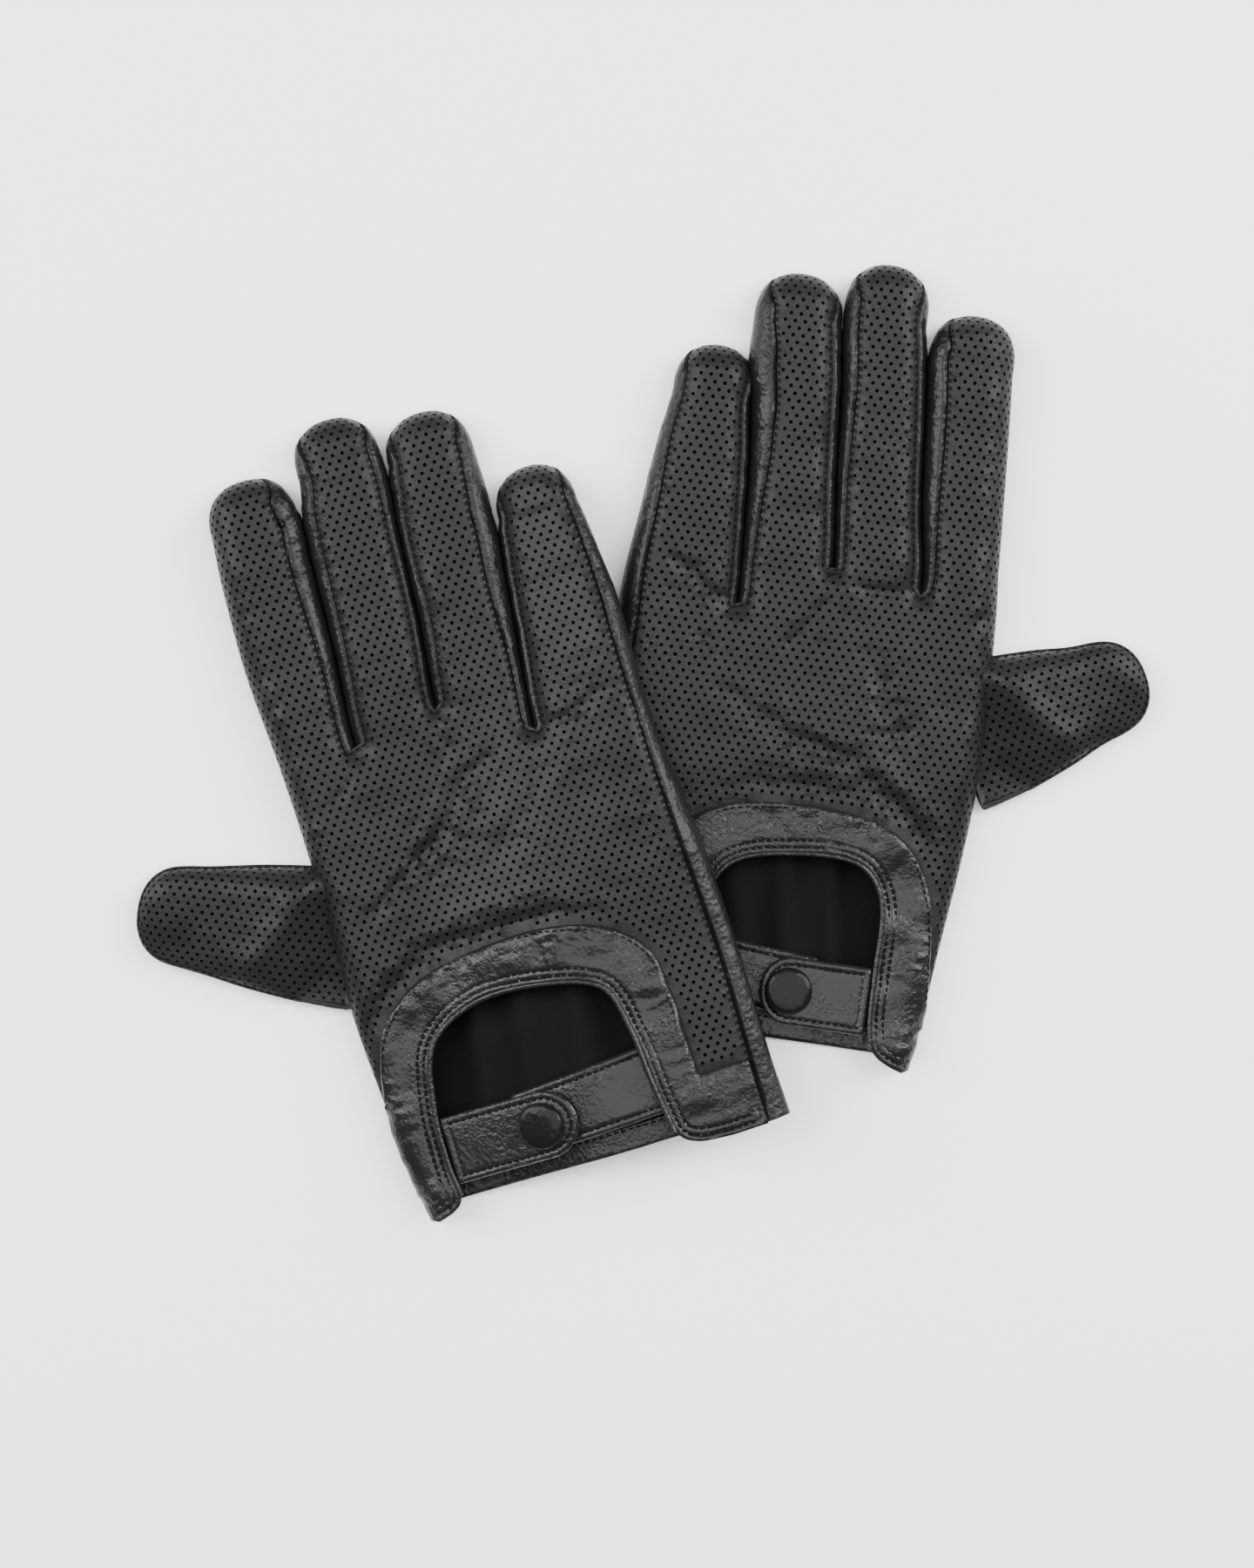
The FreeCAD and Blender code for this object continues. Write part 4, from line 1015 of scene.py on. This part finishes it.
# ---- dressing one glove ----
class Dresser:
    """Makes the visible pieces of one glove: each method makes one of its sub-parts."""

    def __init__(self, glove):
        self.glove = glove
        self.side = glove["name"]
        self.outline = glove_outline(glove)
        self.tips, crotches = tips_and_crotches(glove, self.outline)
        self.skin = Skin(self.outline, ROLL, lambda plan: back_thickness(glove, plan), self.ground)
        self.spare = self.skin.spare
        self.bounds = [0] + crotches + [len(self.outline)]
        self.edge = back_edge(glove, self.outline, self.tips, self.bounds, self.spare)
        self.rim = self.outline + self.skin.out * self.edge[:, None]

        # where the arch seam meets the rim on the thumb side, and the trim's corner on the other side
        arch = through(glove["arch"])
        self.start = int(np.argmin(distance_to_line(self.rim[:self.tips[0]], arch)[0]))
        self.arch = arch[int(np.argmin(np.linalg.norm(arch - self.rim[self.start], axis=1))) + 1:]
        self.end = self.last_above(TRIM_CORNER_Y)
        self.corner = resample(np.array([self.rim[self.end], arch[-1]]), 1.0)
        self.window = through(glove["window"])
        opening = np.vstack([glove["right_flap"][::-1], self.window[::-1], glove["left_flap"]])
        self.opening = smooth_line(opening, 0.8, 1.3)
        self.palm_span = np.arange(int(np.argmax(self.outline[:, 1] > CUFF_Y)), self.last_above(CUFF_Y))

        # where the hand gives way to the fingers and to the thumb
        (ax, ay), (bx, by) = glove["knuckles"]
        middle = np.array([(ax + bx) / 2, (ay + by) / 2])
        ahead = np.array([ay - by, bx - ax]) / math.hypot(bx - ax, by - ay)
        self.root = np.array(glove["thumb"]["root"])
        along = np.array(glove["thumb"]["tip"]) - self.root
        self.thumb_length = float(np.linalg.norm(along))
        self.along = along / self.thumb_length
        self.across = np.array([-self.along[1], self.along[0]])
        self.blends = {
            "fingers": [middle - ahead * KNUCKLE_BLEND, middle + ahead * KNUCKLE_BLEND],
            "thumb": [self.root - THUMB_BLEND[0] * self.along, self.root + THUMB_BLEND[1] * self.along],
        }

    def ground(self, x, y):
        return lift(self.glove, x, y)

    def last_above(self, y):
        """Last place of the outline, on the little-finger side, that is above y."""
        far_side = np.arange(len(self.outline)) > self.tips[3]
        return int(np.max(np.nonzero(far_side & (self.outline[:, 1] > y))[0]))

    def deck(self, height):
        """A sheet inside the glove, at a height over what the glove lies on."""
        return Deck(lambda flat: self.ground(flat[:, 0], flat[:, 1]) + height(flat))

    def add(self, name, shape, look, body, *nodes):
        """A piece that stands for nodes and rides on a body, or, spanning the hand and the fingers or thumb, is
        baked where it lies.
        """
        piece = add_piece(self.glove, name, shape, *LOOKS[look])
        if body in self.blends:
            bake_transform(piece)
        else:
            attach(piece, f"{self.side}_{body}")
        if nodes:
            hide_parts(*[f"{self.side}_{node}" for node in nodes])
        return piece

    def add_cloth(self, name, loop, spacing, place, body, nodes):
        """A sheet of lining cloth, cut to a flat loop."""
        flat, triangles = triangulate([loop], grid_inside(loop, *spacing))
        shape = thicken(place(flat), facing_up(flat, triangles), CLOTH)
        piece = self.add(name, shape, "lining", body, *nodes)

    def back(self):
        """Perforated back, down to the arch seam."""
        arch = self.arch[:-1][::-1]
        closed = np.vstack([self.rim[self.start:self.end], self.corner, arch, self.rim[self.start]])
        hand, rest, fingers = between_cuts(self.rim, self.bounds)
        hand[0] = hand[0][self.start:]
        loop = np.vstack(hand + [self.rim[rest:self.end], self.corner, arch])
        first_row = CUT_Y + HOLE_ROW / 2
        regions = [(self.skin, loop, lattice(loop, closed, first_row))]
        for region, a, b in zip(fingers, self.bounds, self.bounds[1:]):
            own = self.rim[max(a, self.start):min(b, self.end) + 1]
            regions.append((self.skin.part(np.arange(a, b)), region, lattice(region, own, first_row)))
        shape = perforated(regions, closed)
        self.add("back_leather", shape, "perforated", "fingers", "back_panel", "finger_backs")

    def trim_loop(self):
        """Flat outline of the plain trim."""
        near, far = CUFF_ENDS
        return np.vstack([self.rim[near:self.start], self.arch, self.corner[::-1][1:],
                          self.rim[self.end:-far], self.opening])

    def trim(self):
        """Plain trim between the arch seam and the opening, and the opening's rolled edge."""
        def ripple(flat):
            """Wrinkles that run out from the opening, strongest round its far corner."""
            out, share = distance_to_line(flat, self.window)
            along_it = np.column_stack([share * WINDOW_LENGTH, out])
            patch = ease(0.5 + 0.5 * value_noise(along_it, (16, 60), 33), 0.35, 0.8)
            lines = relief(along_it, TRIM_WRINKLES) * (0.40 + 0.60 * patch) * ease(out, 3.5, 7)
            return relief(flat, TRIM_SWELLS) + lines

        sides = left_normals(self.opening)
        near_opening = np.vstack([self.opening + sides * 3.0, (self.opening - sides * 6.0)[::-1]])
        grooves = [(inset, near_opening) for inset in OPENING_ROWS]
        shape = plain(self.skin, self.trim_loop(), spacing=0.95, low=-0.1, high=0.8, edge_width=1.4,
                      thick=1.0, grooves=grooves, ripple=ripple)
        self.add("opening_trim_leather", shape, "plain", "hand", "opening_trim")
        edge = welt(self.skin, self.window, rise=0.35, radius=0.85)
        self.add("opening_edge", edge, "plain", "hand", "opening_binding")

    def side_strips(self):
        """Fourchettes, the strip down the little-finger side, and the stitches along their seams."""
        threads = []
        for i, name in enumerate(("index_middle", "middle_ring", "ring_little")):
            span, nodes = (self.tips[i], self.tips[i + 1]), [f"fourchette_{name}"]
            threads.append(self.strip(f"side_strip_{name}", span, nodes, 15, bulge=0.55, seed=40 + i,
                                      wrinkle=2.4))
        span, nodes = (self.tips[3], len(self.outline) - 3), ["outseam_strip", "little_side_strip"]
        threads.append(self.strip("outer_band", span, nodes, 17, bulge=0.5, seed=51, wrinkle=3.6, tuck=1.2))
        self.add("seam_stitches", merge(threads), "thread", "fingers")

    def strip(self, name, span, nodes, count, bulge, seed, wrinkle, tuck=0.0):
        """A side strip, tucked under the trim at the cuff; returns the stitches just inside its seam."""
        keep = np.arange(*span)
        keep = keep[self.edge[keep] < self.spare - 0.5]
        start = self.edge[keep] + 0.1 - tuck * (1 - ease(self.outline[keep, 1], 2, 9))
        shape = band(self.skin, keep, spread(start, self.spare, count), bulge, seed, wrinkle)
        self.add(name, shape, "strip", "fingers", *nodes)
        keep = keep[self.edge[keep] < self.spare - 2.5]
        place, normal = seam_line(self.skin, keep, self.edge[keep] - 0.35)
        return stitches(place - normal * 0.28, normal, share=0.62)

    def trim_stitches(self):
        """A row below the arch and two rows round the opening."""
        arch_row = (self.arch - left_normals(self.arch) * 1.3)[2:]
        rows = [sewn(self.skin, arch_row, rise=0.62)]
        for inset in OPENING_ROWS:
            row = (self.opening - left_normals(self.opening) * inset)[4:-4]
            row = row[inside_polygon(row, self.trim_loop())]
            rows.append(sewn(self.skin, row, rise=0.50, pitch=FINE_STITCH, thread=0.30))
        self.add("trim_stitches", merge(rows), "thread", "hand")

    def palm(self):
        """Plain leather of the palm and the fingers' undersides."""
        shape = underside(self.skin, self.palm_span)
        self.add("palm_leather", shape, "palm", "fingers", "palm_panel", "finger_palms")

    def hem(self):
        """Folded band along the palm edge, inside the cuff."""
        left = hermite(self.glove["thumb_side"], CUFF_Y) + HEM_INSET
        right = hermite(self.glove["outer_side"], CUFF_Y) - HEM_INSET
        low, high = CUFF_Y + 0.4, CUFF_Y + 8.2
        loop = closed_loop([(left, low), (right, low), (right, high), (left, high)], 1.2)
        deck = self.deck(lambda flat: 1.9 + relief(flat, [(0.12, (9, 3), 61)]))
        shape = plain(deck, loop, spacing=1.8, low=-0.3, high=0.35, edge_width=1.2, thick=0.8)
        self.add("hem_band", shape, "plain", "hand", "cuff_hem")
        row = np.array([(left + 2, high - 1.6), (right - 2, high - 1.6)])
        self.add("hem_stitches", sewn(deck, row, rise=0.42), "thread", "hand")

    def linings(self):
        """Cloth on the palm, pleated where the cut-out shows it, and cloth under the back."""
        def folds(flat):
            """Height of the palm's cloth, with its pleats."""
            height = 1.25 + relief(flat, [(0.10, (8, 14), 71)])
            fade = ease(flat[:, 1], 9, 22) * (1 - ease(flat[:, 1], 70, 95))
            for x, wide, tall in self.glove["folds"]:
                lean = x + 0.12 * (flat[:, 1] - 30) + relief(flat, [(1.8, (60, 25), 72)])
                height = height + tall * fade * np.exp(-((flat[:, 0] - lean) / wide) ** 2)
            return height

        outline, out = self.outline[self.palm_span], self.skin.out[self.palm_span]
        ring = outline - out * 6.0
        ring = weld_loop(ring[ring[:, 1] > CUFF_Y + 8.0])
        deck = self.deck(folds)
        self.add_cloth("lining_palm_cloth", ring, (2.2, 1.2), deck.lay, "fingers", ["palm_lining"])

        ring = outline - out * 5.0
        wide = self.window + left_normals(self.window) * 5.5
        clear = ~inside_polygon(ring, np.vstack([wide, [(40, -20), (-70, -20)]]))
        ring = ring[clear & (ring[:, 1] > BACK_LINING_Y)]
        wide = wide[::-1]
        loop = weld_loop(np.vstack([ring, wide[wide[:, 1] > BACK_LINING_Y]]))
        self.add_cloth("lining_back_cloth", loop, (2.8, 1.5), lambda flat: under_leather(self.skin, flat),
                       "fingers", ["back_lining", "finger_linings"])

    def thumb(self):
        """Perforated back, plain underside, lining, stitches and seam edge of the thumb."""
        half_line = self.glove["thumb"]["half"]
        shoulder = self.thumb_length - TIP_LENGTH
        s = np.arange(-9.0, shoulder, 1.0)
        half = hermite(half_line, s)
        ahead, aside = rounded_end()
        end = np.column_stack([shoulder + ahead, hermite(half_line, shoulder + ahead) * aside])
        line = np.vstack([np.column_stack([s, half]), end, np.column_stack([s, -half])[::-1]])
        line = smooth_line(line, OUTLINE_STEP, 1.0)
        out = left_normals(line)

        def placed(sv):
            """Points along and across the thumb, in the glove's frame."""
            return self.root + sv[:, :1] * self.along + sv[:, 1:] * self.across

        def thickness(plan):
            """Height of the thumb, which a fold crosses past its root."""
            sv = np.column_stack([(plan - self.root) @ self.along, (plan - self.root) @ self.across])
            height = THUMB_ROOT_HEIGHT + (THUMB_HEIGHT - THUMB_ROOT_HEIGHT) * ease(sv[:, 0], -3, 15)
            lean = sv[:, 0] - 0.55 * sv[:, 1] - 14
            height -= 3.0 * ease(lean, 0, 26) - 1.4 * np.exp(-((lean - 1) / 5.0) ** 2)
            return height + relief(sv, THUMB_SWELLS) - THUMB_TILT * sv[:, 1]

        skin = Skin(placed(line), THUMB_ROLL, thickness, self.ground)
        loop = line + out * skin.spare
        closed = np.vstack([loop, loop[:1]])
        holes = placed(lattice(weld_loop(loop), closed, 0.0))
        shape = perforated([(skin, placed(loop), holes)], placed(closed))
        self.add("thumb_leather", shape, "perforated", "thumb", "thumb_back")
        self.add("thumb_underside", underside(skin, np.arange(len(line))), "palm", "thumb", "thumb_palm")
        loop = weld_loop(placed(line - out * 3.5))
        self.add_cloth("thumb_lining_cloth", loop, (2.6, 1.4), lambda flat: under_leather(skin, flat),
                       "thumb", ["thumb_lining"])
        seam = placed(line + out * (skin.spare - 1.6))
        self.add("thumb_stitches", sewn(skin, seam[6:-6], rise=0.0), "thread", "thumb")
        seam = placed(line + out * (skin.spare - 0.2))
        self.add("thumb_seam_welt", welt(skin, seam[4:-4], rise=0.1, radius=0.45), "plain", "thumb")

    def straps(self):
        """The tab that opens and the lower strap that it snaps to, each with its stitches."""
        snap_x, half = self.glove["snap_x"], STRAP_WIDTH / 2
        root_x = float(np.interp(SNAP_Y, self.window[:30, 1], self.window[:30, 0])) + 1.0
        arc = np.linspace(-math.pi / 2, math.pi / 2, 33)
        nose = np.column_stack([snap_x + self.glove["tab_end"] * np.cos(arc), SNAP_Y + half * np.sin(arc)])

        def tab_line(x):
            """The tab's edge from x round its nose."""
            return np.vstack([[(x, SNAP_Y - half)], nose, [(x, SNAP_Y + half)]])

        inset = smooth_line(tab_line(root_x + 1.5), 0.6, 0.8)
        rows = [inset + left_normals(inset) * STRAP_ROW]
        loop = closed_loop(tab_line(root_x), 0.8)
        self.strap("tab", "strap", TAB_BOTTOM, loop, rows, spacing=1.2, low=-0.75, seed=91)

        left, right = snap_x - 7.5, 25.0
        low = np.array([(left, SNAP_Y - 8.6), (right, SNAP_Y - 6.6)])
        high = np.array([(left, SNAP_Y + 10.8), (right, SNAP_Y + 14.6)])
        ends = np.array([(1.5, 0.0), (-0.5, 0.0)])
        rows = [low + ends + (0.0, STRAP_ROW), high + ends - (0.0, STRAP_ROW)]
        loop = closed_loop(np.vstack([low, high[::-1]]), 0.9)
        self.strap("base", "hand", BASE_BOTTOM, loop, rows, spacing=1.4, low=-0.7, seed=92)

    def strap(self, name, body, bottom, loop, rows, spacing, low, seed):
        """Leather of one strap, cut to a flat loop, and the stitches along its rows."""
        deck = self.deck(lambda flat: bottom + STRAP + relief(flat, [(0.08, (6, 5), seed)]))
        shape = plain(deck, loop, spacing, low, high=0.15, edge_width=1.2, thick=1.2,
                      grooves=[(STRAP_ROW, None)])
        self.add(f"{name}_leather", shape, "plain", body, f"strap_{name}")
        threads = [sewn(deck, row, rise=0.0, pitch=FINE_STITCH, thread=0.28) for row in rows]
        self.add(f"{name}_stitches", merge(threads), "thread", body)

    def cap(self):
        """Leather-covered dome of the press stud, tilted as the straps are."""
        snap_x = self.glove["snap_x"]
        before, level, after = self.ground(snap_x + np.array([-1.0, 0.0, 1.0]), SNAP_Y)
        tilt = math.atan((after - before) / 2)
        pivot = (BASE_BOTTOM + TAB_BOTTOM + STRAP) / 2
        turn = np.arange(CAP_SIDES) * 2 * math.pi / CAP_SIDES
        dome = np.vstack([np.column_stack([r * np.cos(turn), r * np.sin(turn), np.full(CAP_SIDES, z)])
                          for r, z in CAP_PROFILE])
        faces = grid_faces(len(CAP_PROFILE), CAP_SIDES, closed=True)
        faces.append(tuple(range(CAP_SIDES - 1, -1, -1)))
        faces.append(tuple(range(len(dome) - CAP_SIDES, len(dome))))
        x, z = dome[:, 0], dome[:, 2] + TAB_BOTTOM + STRAP - pivot
        points = np.column_stack([snap_x + x * math.cos(tilt) - z * math.sin(tilt), SNAP_Y + dome[:, 1],
                                  level + pivot + x * math.sin(tilt) + z * math.cos(tilt)])
        self.add("cap_dome", (points, faces), "cap", "strap", "cap_cover")

    def snap(self):
        """The press stud's metal, which is the CAD's own."""
        for node in ("snap_cap", "snap_socket", "snap_stud", "stud_rivet"):
            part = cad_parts[f"{self.side}_{node}"]
            part.data.materials.clear()
            part.data.materials.append(SNAP_METAL)


for pattern in (RIGHT, LEFT):
    dresser = Dresser(pattern)
    dresser.back()
    dresser.trim()
    dresser.side_strips()
    dresser.trim_stitches()
    dresser.palm()
    dresser.hem()
    dresser.linings()
    dresser.thumb()
    dresser.straps()
    dresser.cap()
    dresser.snap()


# ---- studio ----
def softbox(name, place, size, power):
    """Area light that faces the origin."""
    light = bpy.data.lights.new(name, "AREA")
    light.shape = "RECTANGLE"
    light.size, light.size_y = size
    light.energy = power
    lamp = bpy.data.objects.new(name, light)
    lamp.location = place
    lamp.rotation_euler = (-Vector(place)).to_track_quat("-Z", "Y").to_euler()
    bpy.context.scene.collection.objects.link(lamp)


floor_material = bpy.data.materials.new("pale_floor")
floor_material.use_nodes = True
floor_shader = floor_material.node_tree.nodes["Principled BSDF"]
floor_shader.inputs["Base Color"].default_value = (FLOOR_TONE, FLOOR_TONE, FLOOR_TONE, 1)
floor_shader.inputs["Roughness"].default_value = 0.9
floor_mesh = bpy.data.meshes.new("floor")
floor_corners = [(x * FLOOR_HALF, y * FLOOR_HALF, 0) for x, y in ((-1, -1), (1, -1), (1, 1), (-1, 1))]
floor_mesh.from_pydata(floor_corners, [], [(0, 1, 2, 3)])
floor_mesh.materials.append(floor_material)
floor = bpy.data.objects.new("floor", floor_mesh)
bpy.context.scene.collection.objects.link(floor)

world = bpy.context.scene.world or bpy.data.worlds.new("studio")
bpy.context.scene.world = world
world.use_nodes = True
backdrop = world.node_tree.nodes["Background"]
backdrop.inputs["Color"].default_value = (1, 1, 1, 1)
backdrop.inputs["Strength"].default_value = WORLD_LIGHT

softbox("top_softbox", (0.0, 0.10, 1.6), (1.6, 1.6), 40.0)
softbox("left_softbox", (-1.25, 0.35, 0.95), (0.9, 1.6), 61.0)
softbox("right_softbox", (1.25, 0.55, 0.95), (0.9, 1.6), 73.0)

camera_data = bpy.data.cameras.new("camera")
camera_data.sensor_fit = "VERTICAL"
camera_data.sensor_height = SENSOR_HEIGHT
camera_data.lens = LENS
camera = bpy.data.objects.new("camera", camera_data)
camera.location = (*VIEW_CENTRE, VIEW_LEVEL + VIEW_HEIGHT * LENS / SENSOR_HEIGHT)
camera.rotation_euler = (0, 0, 0)
bpy.context.scene.collection.objects.link(camera)
bpy.context.scene.camera = camera
